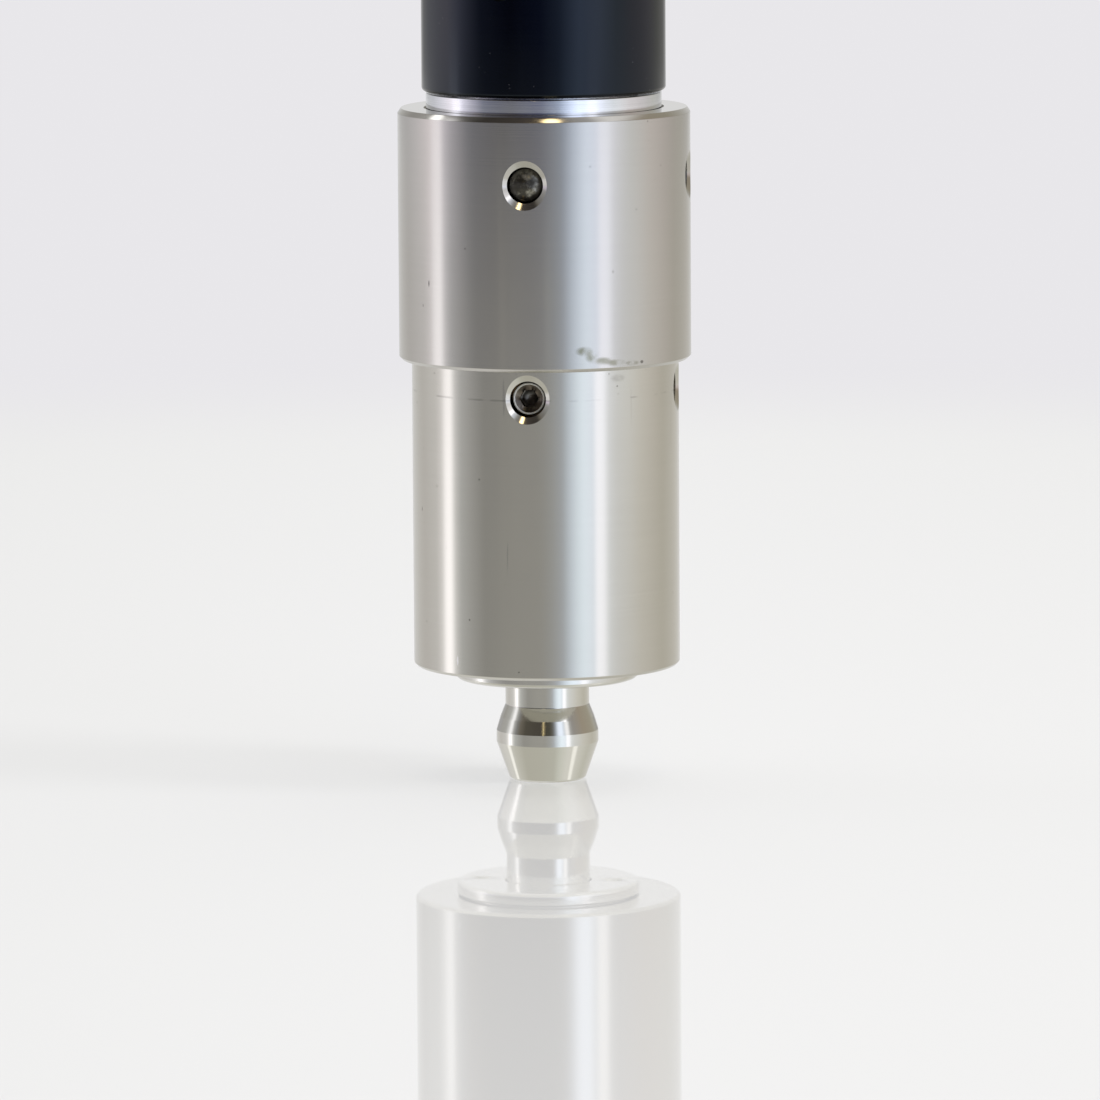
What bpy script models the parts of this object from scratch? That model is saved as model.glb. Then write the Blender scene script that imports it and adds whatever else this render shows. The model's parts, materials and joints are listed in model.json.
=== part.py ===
"""Capping head: a bearing-mounted spindle that turns a spring-loaded tool holder.

A black bearing housing is bolted to the capping machine by its flat top face.  The spindle
runs in two ball bearings inside it and is turned by the keyed shank on top.  A steel collar
is clamped on the spindle by four set screws.  The tool holder telescopes in the collar's
skirt: the dog points of its four screws ride in slots of a hub on the spindle, so that it
turns with the spindle and yields upwards against a compression spring.  A threaded ring
holds the interchangeable olive-shaped tip that enters the cap.

Metres, +Z up.  The origin is the centre of the tip's flat end face.
"""

import math

import bmesh
import bpy
from mathutils import Matrix, Vector

MM = 0.001

# ---- Fits -------------------------------------------------------------------------------
FIT = 0.15 * MM  # radial clearance between nested round pieces
SEAT = 0.2 * MM  # axial clearance between pieces that rest on each other
RUNNING_GAP = 0.2 * MM  # axial gap between the turning collar and the fixed neck

# ---- Facets -----------------------------------------------------------------------------
OUTER_FACETS = 32
INNER_FACETS = 24
SMALL_FACETS = 12
SHARP_ANGLE = math.radians(34)  # edges sharper than this stay crisp

# ---- Tip --------------------------------------------------------------------------------
TIP_LENGTH = 12.3 * MM  # from the end face to the retaining ring
TIP_END_R = 4.4 * MM
TIP_BULB_R = 6.15 * MM
TIP_NECK_R = 5.05 * MM
TIP_BAND_LOW = 4.6 * MM  # heights of the bulb's cylindrical band
TIP_BAND_HIGH = 5.95 * MM
TIP_FLARE_HIGH = 9.1 * MM
TIP_EDGE = 0.3 * MM
TIP_FLANGE_R = 7.5 * MM
TIP_FLANGE_THICK = 3.0 * MM
TIP_PILOT_R = 4.0 * MM
DOWEL_R = 1.0 * MM
DOWEL_LENGTH = 4.6 * MM

# ---- Retaining ring ---------------------------------------------------------------------
RING_R = 11.0 * MM
RING_HEIGHT = 1.7 * MM  # the part that shows under the holder
RING_EDGE = 0.5 * MM
RING_THREAD_R = 10.0 * MM
RING_THREAD_LENGTH = 1.2 * MM
SPANNER_HOLE_R = 1.1 * MM
SPANNER_HOLE_DEPTH = 1.6 * MM

# ---- Tool holder ------------------------------------------------------------------------
HOLDER_R = 16.0 * MM
HOLDER_WALL = 4.0 * MM
HOLDER_SHOWN = 36.95 * MM  # from the holder's lower face to the collar's
HOLDER_LAP = 8.85 * MM  # inside the collar's skirt at rest
HOLDER_WEB = 3.4 * MM  # floor left above the tip's flange
HOLDER_EDGE = 0.4 * MM
TRAVEL = 5.0 * MM  # how far the holder yields upwards

# ---- Collar -----------------------------------------------------------------------------
COLLAR_HEIGHT = 30.15 * MM
COLLAR_WALL = 1.35 * MM  # of the skirt
COLLAR_TOP_EDGE = 0.6 * MM  # height of the steep chamfer
COLLAR_TOP_INSET = 0.4 * MM  # and its width
COLLAR_LOW_EDGE = 0.4 * MM
COLLAR_END_CLEARANCE = 1.2 * MM  # above the holder at full travel

# ---- Set screws (M4) --------------------------------------------------------------------
SCREWS = 4
SCREW_R = 2.0 * MM
SCREW_EDGE = 0.3 * MM
SOCKET_ACROSS_FLATS = 2.0 * MM
SOCKET_DEPTH = 1.6 * MM
COUNTERSINK_R = 2.93 * MM
COUNTERSINK_SLOPE = 1.0  # depth gained for each step inwards
COLLAR_SCREW_DROP = 8.0 * MM  # from the collar's top face to the screws' axis
COLLAR_SCREW_RECESS = 1.4 * MM
HOLDER_SCREW_DROP = 3.35 * MM  # from the collar's lower face to the screws' axis
HOLDER_SCREW_RECESS = 1.4 * MM
DOG_R = 1.25 * MM
DOG_REACH = 1.65 * MM  # how far a dog point enters the hub

# ---- Drive hub --------------------------------------------------------------------------
SLOT_DEPTH = 2.2 * MM
HUB_BELOW_SLOT = 2.7 * MM
HUB_ABOVE_SLOT = 4.5 * MM
PIN_R = 1.5 * MM
PIN_BELOW_TOP = 2.7 * MM

# ---- Hub bolt (M5) ----------------------------------------------------------------------
BOLT_R = 2.5 * MM
BOLT_GRIP = 8.0 * MM
BOLT_HEAD_R = 4.25 * MM
BOLT_HEAD_HEIGHT = 4.5 * MM
BOLT_SOCKET_ACROSS_FLATS = 4.0 * MM
BOLT_SOCKET_DEPTH = 2.4 * MM
WASHER_THICK = 1.0 * MM
WASHER_R = 6.6 * MM

# ---- Compression spring -----------------------------------------------------------------
WIRE_R = 1.0 * MM
SPRING_SIDE_GAP = 2.0 * MM  # between the coil and the holder's wall
SPRING_TURNS = 5.5
SPRING_END_TURNS = 1.0  # closed turns at each end
SPRING_END_PITCH = 2.25 * MM
SPRING_POINTS_PER_TURN = 14

# ---- Bearings (10 x 22 x 6) -------------------------------------------------------------
BEARING_BORE_R = 5.0 * MM
BEARING_R = 11.0 * MM
BEARING_WIDTH = 6.0 * MM
BALL_R = 1.5875 * MM
BALLS = 7
RACE_PLAY = 0.16 * MM
CAGE_HALF_HEIGHT = 2.4 * MM
CAGE_WALL = 1.0 * MM
BEARING_SPAN = 34.5 * MM  # between the two bearings' facing sides

# ---- Spindle ----------------------------------------------------------------------------
SHAFT_R = 6.0 * MM  # below the bearings
SHANK_LENGTH = 20.0 * MM  # above the machine face
SHANK_EDGE = 0.6 * MM
KEY_WIDTH = 3.0 * MM
KEY_LENGTH = 14.0 * MM
KEY_DEPTH = 1.8 * MM
KEY_PROUD = 1.2 * MM
NUT_R = 8.6 * MM
NUT_HEIGHT = 4.0 * MM
NUT_SLOT_WIDTH = 2.6 * MM
NUT_SLOT_DEPTH = 1.3 * MM

# ---- Housing ----------------------------------------------------------------------------
HOUSING_WALL = 3.45 * MM  # round the bearings
THREAD_WALL = 1.7 * MM  # left outside each threaded spigot
THREAD_LENGTH = 6.0 * MM
LOWER_CAP_HEIGHT = 15.9 * MM
LOWER_CAP_EDGE = 0.5 * MM
SEAM_EDGE = 0.35 * MM
TOP_CAP_HEIGHT = 6.0 * MM
TOP_CAP_EDGE = 0.8 * MM
FLAT_LENGTH = 10.0 * MM
FLAT_DEPTH = 1.0 * MM
FLAT_ABOVE_SEAM = 5.0 * MM
NECK_STEP = 0.5 * MM  # the retainer's flange is this much smaller than the housing
NECK_HEIGHT = 1.8 * MM
SEAL_THICK = 3.2 * MM
SEAL_RADIAL = 2.7 * MM
SEAL_LIP = 0.8 * MM  # flange left under the lower seal
MACHINE_HOLES = 3
MACHINE_HOLE_R = 1.25 * MM
MACHINE_HOLE_DEPTH = 4.5 * MM
MACHINE_HOLE_INSET = 3.2 * MM  # of the holes' axes from the housing's wall
LOCK_SCREW_R = 1.5 * MM
LOCK_SCREW_SOCKET = 1.5 * MM
LOCK_SCREW_DEPTH = 0.9 * MM
LOWER_LOCK_ANGLE = math.radians(-103)
LOWER_LOCK_DROP = 2.6 * MM  # from the seam to the lower lock screw

# ---- Heights worked out from the sizes above --------------------------------------------
HOLDER_LOW = TIP_LENGTH + RING_HEIGHT
COLLAR_LOW = HOLDER_LOW + HOLDER_SHOWN
COLLAR_HIGH = COLLAR_LOW + COLLAR_HEIGHT
HOLDER_HIGH = COLLAR_LOW + HOLDER_LAP
COLLAR_SCREW_Z = COLLAR_HIGH - COLLAR_SCREW_DROP
HOLDER_SCREW_Z = COLLAR_LOW - HOLDER_SCREW_DROP
COLLAR_WEB_LOW = HOLDER_HIGH + TRAVEL + COLLAR_END_CLEARANCE

RING_THREAD_HIGH = HOLDER_LOW + RING_THREAD_LENGTH
TIP_FLANGE_LOW = RING_THREAD_HIGH + SEAT
TIP_FLANGE_HIGH = TIP_FLANGE_LOW + TIP_FLANGE_THICK
HOLDER_WEB_LOW = TIP_FLANGE_HIGH + SEAT
HOLDER_FLOOR = HOLDER_WEB_LOW + HOLDER_WEB

SLOT_LOW = HOLDER_SCREW_Z - DOG_R - SEAT
SLOT_HIGH = HOLDER_SCREW_Z + TRAVEL + DOG_R + SEAT
HUB_LOW = SLOT_LOW - HUB_BELOW_SLOT
HUB_HIGH = SLOT_HIGH + HUB_ABOVE_SLOT
PIN_Z = HUB_HIGH - PIN_BELOW_TOP
SHAFT_LOW = HUB_LOW + 0.5 * MM
SHAFT_SHOULDER = HUB_HIGH + SEAT
BOLT_WASHER_LOW = HUB_LOW - SEAT - WASHER_THICK

NECK_LOW = COLLAR_HIGH + RUNNING_GAP
HOUSING_LOW = NECK_LOW + NECK_HEIGHT
LOWER_SEAL_LOW = NECK_LOW + SEAL_LIP
LOWER_SEAL_HIGH = LOWER_SEAL_LOW + SEAL_THICK
LOWER_BEARING_LOW = LOWER_SEAL_HIGH + 1.1 * MM
LOWER_BEARING_HIGH = LOWER_BEARING_LOW + BEARING_WIDTH
LOWER_CAP_HIGH = HOUSING_LOW + LOWER_CAP_HEIGHT
UPPER_BEARING_LOW = LOWER_BEARING_HIGH + BEARING_SPAN
UPPER_BEARING_HIGH = UPPER_BEARING_LOW + BEARING_WIDTH
NUT_WASHER_LOW = UPPER_BEARING_HIGH + SEAT
NUT_LOW = NUT_WASHER_LOW + WASHER_THICK + SEAT
NUT_HIGH = NUT_LOW + NUT_HEIGHT
HOUSING_HIGH = UPPER_BEARING_HIGH + THREAD_LENGTH
MACHINE_FACE = HOUSING_HIGH + SEAT + TOP_CAP_HEIGHT
UPPER_SEAL_HIGH = MACHINE_FACE - 1.2 * MM
UPPER_SEAL_LOW = UPPER_SEAL_HIGH - SEAL_THICK
SHAFT_HIGH = MACHINE_FACE + SHANK_LENGTH
KEY_Z = SHAFT_HIGH - SHANK_LENGTH / 2

# ---- Radii worked out from the sizes above ----------------------------------------------
CAVITY_R = HOLDER_R - HOLDER_WALL
HUB_R = CAVITY_R - FIT
SKIRT_BORE_R = HOLDER_R + FIT
COLLAR_R = SKIRT_BORE_R + COLLAR_WALL
SPRING_R = CAVITY_R - SPRING_SIDE_GAP - WIRE_R
HOUSING_BORE_R = BEARING_R + FIT
HOUSING_R = HOUSING_BORE_R + HOUSING_WALL
HOUSING_THREAD_R = HOUSING_R - THREAD_WALL
NECK_R = HOUSING_R - NECK_STEP
MACHINE_HOLE_CIRCLE_R = HOUSING_R - MACHINE_HOLE_INSET
PITCH_R = (BEARING_BORE_R + BEARING_R) / 2
SCREW_ANGLES = [math.radians(-90 + i * 360 / SCREWS) for i in range(SCREWS)]


def clear_scene():
    """Empties the file of its objects."""
    for obj in list(bpy.data.objects):
        bpy.data.objects.remove(obj, do_unlink=True)


def make_collection(name, cutters=False):
    """A new collection in the scene."""
    made = bpy.data.collections.new(name)
    bpy.context.scene.collection.children.link(made)
    made.hide_render = cutters
    return made


def make_material(name, colour, roughness, metallic):
    """A Principled material of one colour."""
    made = bpy.data.materials.new(name)
    made.use_nodes = True
    shader = made.node_tree.nodes["Principled BSDF"]
    shader.inputs["Base Color"].default_value = (*colour, 1.0)
    shader.inputs["Roughness"].default_value = roughness
    shader.inputs["Metallic"].default_value = metallic
    made.diffuse_color = (*colour, 1.0)
    return made


clear_scene()
PARTS = make_collection("Capping_head")
CUTTERS = make_collection("Cutters", cutters=True)

STEEL = make_material("Turned_stainless", (0.62, 0.61, 0.58), 0.22, 1.0)
BRIGHT_STEEL = make_material("Polished_stainless", (0.70, 0.69, 0.66), 0.12, 1.0)
DARK_STEEL = make_material("Blackened_steel", (0.10, 0.09, 0.085), 0.35, 1.0)
ALUMINIUM = make_material("Turned_aluminium", (0.80, 0.81, 0.83), 0.20, 1.0)
BLACK_ANODISED = make_material("Black_anodised", (0.012, 0.013, 0.018), 0.32, 0.0)
BEARING_STEEL = make_material("Bearing_steel", (0.66, 0.66, 0.68), 0.10, 1.0)
BRASS = make_material("Brass", (0.72, 0.52, 0.22), 0.30, 1.0)
BRONZE = make_material("Bronze", (0.55, 0.36, 0.18), 0.30, 1.0)
RUBBER = make_material("Nitrile_rubber", (0.02, 0.02, 0.02), 0.60, 0.0)
SPRING_STEEL = make_material("Spring_steel", (0.45, 0.45, 0.46), 0.25, 1.0)


def make_axis(name, height=0.0, parent=None):
    """An empty on the spindle's axis, which the pieces of one moving body hang from."""
    empty = bpy.data.objects.new(name, None)
    empty.location = (0, 0, height)
    PARTS.objects.link(empty)
    empty.parent = parent
    return empty


HOUSING_AXIS = make_axis("housing_axis")
SPINDLE_AXIS = make_axis("spindle_axis", parent=HOUSING_AXIS)
HOLDER_AXIS = make_axis("holder_axis", parent=SPINDLE_AXIS)


def place(obj, parent, material):
    """Links a piece, hangs it from its body's axis and gives it its material."""
    PARTS.objects.link(obj)
    obj.parent = parent
    obj.data.materials.append(material)
    return obj


def mesh_object(name, bm):
    """An object with the mesh built in bm."""
    mesh = bpy.data.meshes.new(name)
    bm.to_mesh(mesh)
    bm.free()
    return bpy.data.objects.new(name, mesh)


def turned(name, profile, facets=OUTER_FACETS):
    """A turned solid about Z from (radius, height) points that run down its outer side.

    A profile that starts and ends on the axis is left open there; any other is a ring.
    """
    bm = bmesh.new()
    corners = [bm.verts.new((radius, 0, height)) for radius, height in profile]
    followers = corners[1:] if profile[0][0] == 0 else corners[1:] + corners[:1]
    for corner, follower in zip(corners, followers):
        bm.edges.new((corner, follower))
    obj = mesh_object(name, bm)
    turn = obj.modifiers.new("Turn", "SCREW")
    turn.angle = math.tau
    turn.steps = turn.render_steps = facets
    turn.use_merge_vertices = True
    turn.merge_threshold = 0.00001
    turn.use_smooth_shade = False
    return obj


def ring_profile(inner, outer, low, high, edge=0.0):
    """A plain ring's section, with its two outer edges chamfered."""
    if not edge:
        return [(outer, high), (outer, low), (inner, low), (inner, high)]
    return [
        (outer - edge, high),
        (outer, high - edge),
        (outer, low + edge),
        (outer - edge, low),
        (inner, low),
        (inner, high),
    ]


def as_cutter(obj):
    """Keeps a cutter out of the model."""
    CUTTERS.objects.link(obj)
    obj.hide_render = True
    obj.display_type = "WIRE"
    return obj


def cut(obj, cutter):
    """Takes a cutter away from a piece."""
    boolean = obj.modifiers.new("Cut_" + cutter.name, "BOOLEAN")
    boolean.operation = "DIFFERENCE"
    boolean.solver = "EXACT"
    boolean.object = cutter


def prism(name, radius, low, high, sides, turn=0.0):
    """A closed prism along Z with its corners at radius."""
    bm = bmesh.new()
    bmesh.ops.create_cone(
        bm,
        cap_ends=True,
        segments=sides,
        radius1=radius,
        radius2=radius,
        depth=high - low,
        matrix=Matrix.Translation((0, 0, (low + high) / 2)) @ Matrix.Rotation(turn, 4, "Z"),
    )
    return mesh_object(name, bm)


def block(name, size, centre):
    """A closed box."""
    bm = bmesh.new()
    bmesh.ops.create_cube(bm, size=1.0, matrix=Matrix.Translation(centre) @ Matrix.Diagonal((*size, 1)))
    return mesh_object(name, bm)


def aim_outwards(obj, angle, height, radius=0.0):
    """Points a piece's own +Z away from the axis at this angle, with its origin at radius."""
    outwards = Vector((math.cos(angle), math.sin(angle), 0))
    obj.rotation_euler = outwards.to_track_quat("Z", "Y").to_euler()
    obj.location = outwards * radius + Vector((0, 0, height))
    return obj


def hex_socket_cutter(name, across_flats, depth):
    """A hexagon prism that sinks depth below its own origin."""
    corner_r = across_flats / math.sqrt(3)
    return prism(name, corner_r, -depth, SCREW_R, 6)


def countersunk_hole_cutter(name, outer_r, hole_r, sink_r, depth):
    """A radial hole with a wide countersink on a round wall, its origin on the wall."""
    above = SCREW_R
    profile = [
        (0, above),
        (sink_r + above / COUNTERSINK_SLOPE, above),
        (hole_r, (hole_r - sink_r) * COUNTERSINK_SLOPE),
        (hole_r, -depth),
        (0, -depth),
    ]
    return turned(name, profile, SMALL_FACETS)


def set_screw(name, length, dog=0.0, dog_r=0.0):
    """A socket set screw that hangs down from its own origin, with a dog point if asked."""
    body = length - dog
    profile = [
        (0, 0),
        (SCREW_R - SCREW_EDGE, 0),
        (SCREW_R, -SCREW_EDGE),
        (SCREW_R, SCREW_EDGE - body),
        (SCREW_R - SCREW_EDGE, -body),
    ]
    if dog:
        profile += [(dog_r, -body), (dog_r, -length)]
    profile.append((0, profile[-1][1]))
    obj = turned(name, profile, SMALL_FACETS)
    socket = as_cutter(hex_socket_cutter(name + "_socket", SOCKET_ACROSS_FLATS, SOCKET_DEPTH))
    socket.parent = obj
    cut(obj, socket)
    return obj


def make_tip():
    """The olive-shaped tip, with the flange and pilot that hold it, and its drive dowel."""
    flare_mid = (TIP_BAND_HIGH + TIP_FLARE_HIGH) / 2
    profile = [
        (0, HOLDER_FLOOR - SEAT),
        (TIP_PILOT_R, HOLDER_FLOOR - SEAT),
        (TIP_PILOT_R, TIP_FLANGE_HIGH),
        (TIP_FLANGE_R, TIP_FLANGE_HIGH),
        (TIP_FLANGE_R, TIP_FLANGE_LOW),
        (TIP_NECK_R, TIP_FLANGE_LOW),
        (TIP_NECK_R, TIP_FLARE_HIGH),
        ((TIP_NECK_R + TIP_BULB_R) / 2, flare_mid),
        (TIP_BULB_R, TIP_BAND_HIGH),
        (TIP_BULB_R, TIP_BAND_LOW),
        (TIP_END_R + TIP_EDGE, TIP_EDGE),
        (TIP_END_R, 0),
        (0, 0),
    ]
    tip = place(turned("drive_tip", profile), HOLDER_AXIS, BRIGHT_STEEL)
    dowel_x = (TIP_PILOT_R + TIP_FLANGE_R) / 2
    dowel_low = TIP_FLANGE_LOW + SEAT
    hole = prism("tip_dowel_hole", DOWEL_R + FIT, dowel_low - SEAT / 2, HOLDER_WEB_LOW, SMALL_FACETS)
    hole.location.x = dowel_x
    cut(tip, as_cutter(hole))
    dowel = prism("tip_dowel", DOWEL_R, dowel_low, dowel_low + DOWEL_LENGTH, SMALL_FACETS)
    dowel.location.x = dowel_x
    place(dowel, HOLDER_AXIS, BEARING_STEEL)
    return dowel_x, dowel_low + DOWEL_LENGTH + SEAT


def make_retaining_ring():
    """The threaded ring under the holder that keeps the tip's flange in."""
    bore = TIP_NECK_R + FIT
    profile = [
        (RING_THREAD_R, RING_THREAD_HIGH),
        (RING_THREAD_R, HOLDER_LOW - SEAT),
        (RING_R, HOLDER_LOW - SEAT),
        (RING_R, TIP_LENGTH + RING_EDGE),
        (RING_R - RING_EDGE, TIP_LENGTH),
        (bore, TIP_LENGTH),
        (bore, RING_THREAD_HIGH),
    ]
    ring = place(turned("tip_retaining_ring", profile), HOLDER_AXIS, STEEL)
    for side, name in ((-1, "left"), (1, "right")):
        hole = prism(
            "spanner_hole_" + name,
            SPANNER_HOLE_R,
            TIP_LENGTH - RING_HEIGHT,
            TIP_LENGTH + SPANNER_HOLE_DEPTH,
            SMALL_FACETS,
        )
        hole.location.x = side * (TIP_NECK_R + RING_R) / 2
        cut(ring, as_cutter(hole))


def make_holder(dowel_x, dowel_hole_high):
    """The cup that carries the tip, with the four dog-point screws in its wall."""
    profile = [
        (HOLDER_R - HOLDER_EDGE, HOLDER_HIGH),
        (HOLDER_R, HOLDER_HIGH - HOLDER_EDGE),
        (HOLDER_R, HOLDER_LOW + HOLDER_EDGE),
        (HOLDER_R - HOLDER_EDGE, HOLDER_LOW),
        (RING_THREAD_R + FIT, HOLDER_LOW),
        (RING_THREAD_R + FIT, HOLDER_WEB_LOW),
        (TIP_PILOT_R + FIT, HOLDER_WEB_LOW),
        (TIP_PILOT_R + FIT, HOLDER_FLOOR),
        (CAVITY_R, HOLDER_FLOOR),
        (CAVITY_R, HOLDER_HIGH),
    ]
    holder = place(turned("tool_holder", profile), HOLDER_AXIS, STEEL)
    hole = prism("holder_dowel_hole", DOWEL_R + FIT, TIP_FLANGE_HIGH, dowel_hole_high, SMALL_FACETS)
    hole.location.x = dowel_x
    cut(holder, as_cutter(hole))
    length = HOLDER_WALL + FIT + DOG_REACH - HOLDER_SCREW_RECESS
    for number, angle in enumerate(SCREW_ANGLES, 1):
        cutter = countersunk_hole_cutter(
            f"holder_screw_hole_{number}", HOLDER_R, SCREW_R + FIT, COUNTERSINK_R, HOLDER_WALL + MM
        )
        cut(holder, as_cutter(aim_outwards(cutter, angle, HOLDER_SCREW_Z, HOLDER_R)))
        screw = set_screw(f"dog_point_screw_{number}", length, DOG_REACH + FIT, DOG_R)
        place(screw, HOLDER_AXIS, BRIGHT_STEEL)
        aim_outwards(screw, angle, HOLDER_SCREW_Z, HOLDER_R - HOLDER_SCREW_RECESS)


def make_collar():
    """The steel collar clamped on the spindle, and its four set screws."""
    profile = [
        (COLLAR_R - COLLAR_TOP_INSET, COLLAR_HIGH),
        (COLLAR_R, COLLAR_HIGH - COLLAR_TOP_EDGE),
        (COLLAR_R, COLLAR_LOW + COLLAR_LOW_EDGE),
        (COLLAR_R - COLLAR_LOW_EDGE, COLLAR_LOW),
        (SKIRT_BORE_R, COLLAR_LOW),
        (SKIRT_BORE_R, COLLAR_WEB_LOW),
        (SHAFT_R + FIT, COLLAR_WEB_LOW),
        (SHAFT_R + FIT, COLLAR_HIGH),
    ]
    collar = place(turned("upper_collar", profile), SPINDLE_AXIS, STEEL)
    length = COLLAR_R - COLLAR_SCREW_RECESS - SHAFT_R - FIT
    for number, angle in enumerate(SCREW_ANGLES, 1):
        cutter = countersunk_hole_cutter(
            f"collar_screw_hole_{number}", COLLAR_R, SCREW_R + FIT, COUNTERSINK_R, COLLAR_R - SHAFT_R + MM
        )
        cut(collar, as_cutter(aim_outwards(cutter, angle, COLLAR_SCREW_Z, COLLAR_R)))
        screw = place(set_screw(f"collar_set_screw_{number}", length), SPINDLE_AXIS, DARK_STEEL)
        aim_outwards(screw, angle, COLLAR_SCREW_Z, COLLAR_R - COLLAR_SCREW_RECESS)


def make_hub():
    """The slotted bronze hub on the spindle's end, with its cross pin, bolt and washer."""
    bore = BEARING_BORE_R + FIT
    hub = place(turned("drive_hub", ring_profile(bore, HUB_R, HUB_LOW, HUB_HIGH)), SPINDLE_AXIS, BRONZE)
    slot_width = 2 * (DOG_R + FIT)
    for number, angle in enumerate(SCREW_ANGLES, 1):
        slot = block(
            f"hub_slot_{number}",
            (slot_width, SLOT_HIGH - SLOT_LOW, 2 * SLOT_DEPTH),
            (0, (SLOT_HIGH + SLOT_LOW) / 2 - HOLDER_SCREW_Z, 0),
        )
        cut(hub, as_cutter(aim_outwards(slot, angle, HOLDER_SCREW_Z, HUB_R)))
    pin_angle = SCREW_ANGLES[0] + math.pi / SCREWS
    pin_half = HUB_R - 0.6 * MM
    pin_hole = prism("hub_pin_hole", PIN_R + FIT, -CAVITY_R, CAVITY_R, SMALL_FACETS)
    cut(hub, as_cutter(aim_outwards(pin_hole, pin_angle, PIN_Z)))
    pin = prism("hub_cross_pin", PIN_R, -pin_half, pin_half, SMALL_FACETS)
    place(aim_outwards(pin, pin_angle, PIN_Z), SPINDLE_AXIS, BEARING_STEEL)

    washer = ring_profile(BOLT_R + FIT, WASHER_R, BOLT_WASHER_LOW, BOLT_WASHER_LOW + WASHER_THICK)
    place(turned("hub_washer", washer, INNER_FACETS), SPINDLE_AXIS, BEARING_STEEL)
    head_high = BOLT_WASHER_LOW - SEAT
    head_low = head_high - BOLT_HEAD_HEIGHT
    profile = [
        (0, SHAFT_LOW + BOLT_GRIP),
        (BOLT_R, SHAFT_LOW + BOLT_GRIP),
        (BOLT_R, head_high),
        (BOLT_HEAD_R, head_high),
        (BOLT_HEAD_R, head_low + SCREW_EDGE),
        (BOLT_HEAD_R - SCREW_EDGE, head_low),
        (0, head_low),
    ]
    bolt = place(turned("hub_bolt", profile, SMALL_FACETS), SPINDLE_AXIS, DARK_STEEL)
    corner_r = BOLT_SOCKET_ACROSS_FLATS / math.sqrt(3)
    socket = prism("hub_bolt_socket", corner_r, head_low - MM, head_low + BOLT_SOCKET_DEPTH, 6)
    cut(bolt, as_cutter(socket))
    return pin_hole


def make_shaft(pin_hole):
    """The spindle shaft, its drive key, and the nut and washer above the bearings."""
    profile = [
        (0, SHAFT_HIGH),
        (BEARING_BORE_R - SHANK_EDGE, SHAFT_HIGH),
        (BEARING_BORE_R, SHAFT_HIGH - SHANK_EDGE),
        (BEARING_BORE_R, LOWER_BEARING_LOW - SEAT),
        (SHAFT_R, LOWER_BEARING_LOW - SEAT),
        (SHAFT_R, SHAFT_SHOULDER),
        (BEARING_BORE_R, SHAFT_SHOULDER),
        (BEARING_BORE_R, SHAFT_LOW),
        (0, SHAFT_LOW),
    ]
    shaft = place(turned("spindle_shaft", profile), SPINDLE_AXIS, BEARING_STEEL)
    tapping = prism("bolt_tapping", BOLT_R + FIT, SHAFT_LOW - MM, SHAFT_LOW + BOLT_GRIP + SEAT, SMALL_FACETS)
    cut(shaft, as_cutter(tapping))
    cut(shaft, pin_hole)
    keyway_floor = BEARING_BORE_R - KEY_DEPTH
    keyway = block(
        "keyway",
        (KEY_WIDTH + 2 * FIT, 2 * KEY_DEPTH, KEY_LENGTH + 2 * FIT),
        (0, -BEARING_BORE_R, KEY_Z),
    )
    cut(shaft, as_cutter(keyway))
    key_high = BEARING_BORE_R + KEY_PROUD
    key_low = keyway_floor + SEAT
    key = block("drive_key", (KEY_WIDTH, key_high - key_low, KEY_LENGTH), (0, -(key_high + key_low) / 2, KEY_Z))
    round_ends = key.modifiers.new("Round_ends", "BEVEL")
    round_ends.width = 0.3 * MM
    round_ends.segments = 1
    place(key, SPINDLE_AXIS, BRASS)

    washer = ring_profile(BEARING_BORE_R + FIT, WASHER_R, NUT_WASHER_LOW, NUT_WASHER_LOW + WASHER_THICK)
    place(turned("nut_washer", washer, INNER_FACETS), SPINDLE_AXIS, BEARING_STEEL)
    nut = turned(
        "spindle_lock_nut", ring_profile(BEARING_BORE_R + FIT, NUT_R, NUT_LOW, NUT_HIGH, SCREW_EDGE), INNER_FACETS
    )
    place(nut, SPINDLE_AXIS, DARK_STEEL)
    for number, angle in enumerate(SCREW_ANGLES, 1):
        slot = block(f"nut_slot_{number}", (NUT_SLOT_WIDTH, 2 * NUT_HEIGHT, 2 * NUT_SLOT_DEPTH), (0, 0, 0))
        cut(nut, as_cutter(aim_outwards(slot, angle, (NUT_LOW + NUT_HIGH) / 2, NUT_R)))


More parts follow.
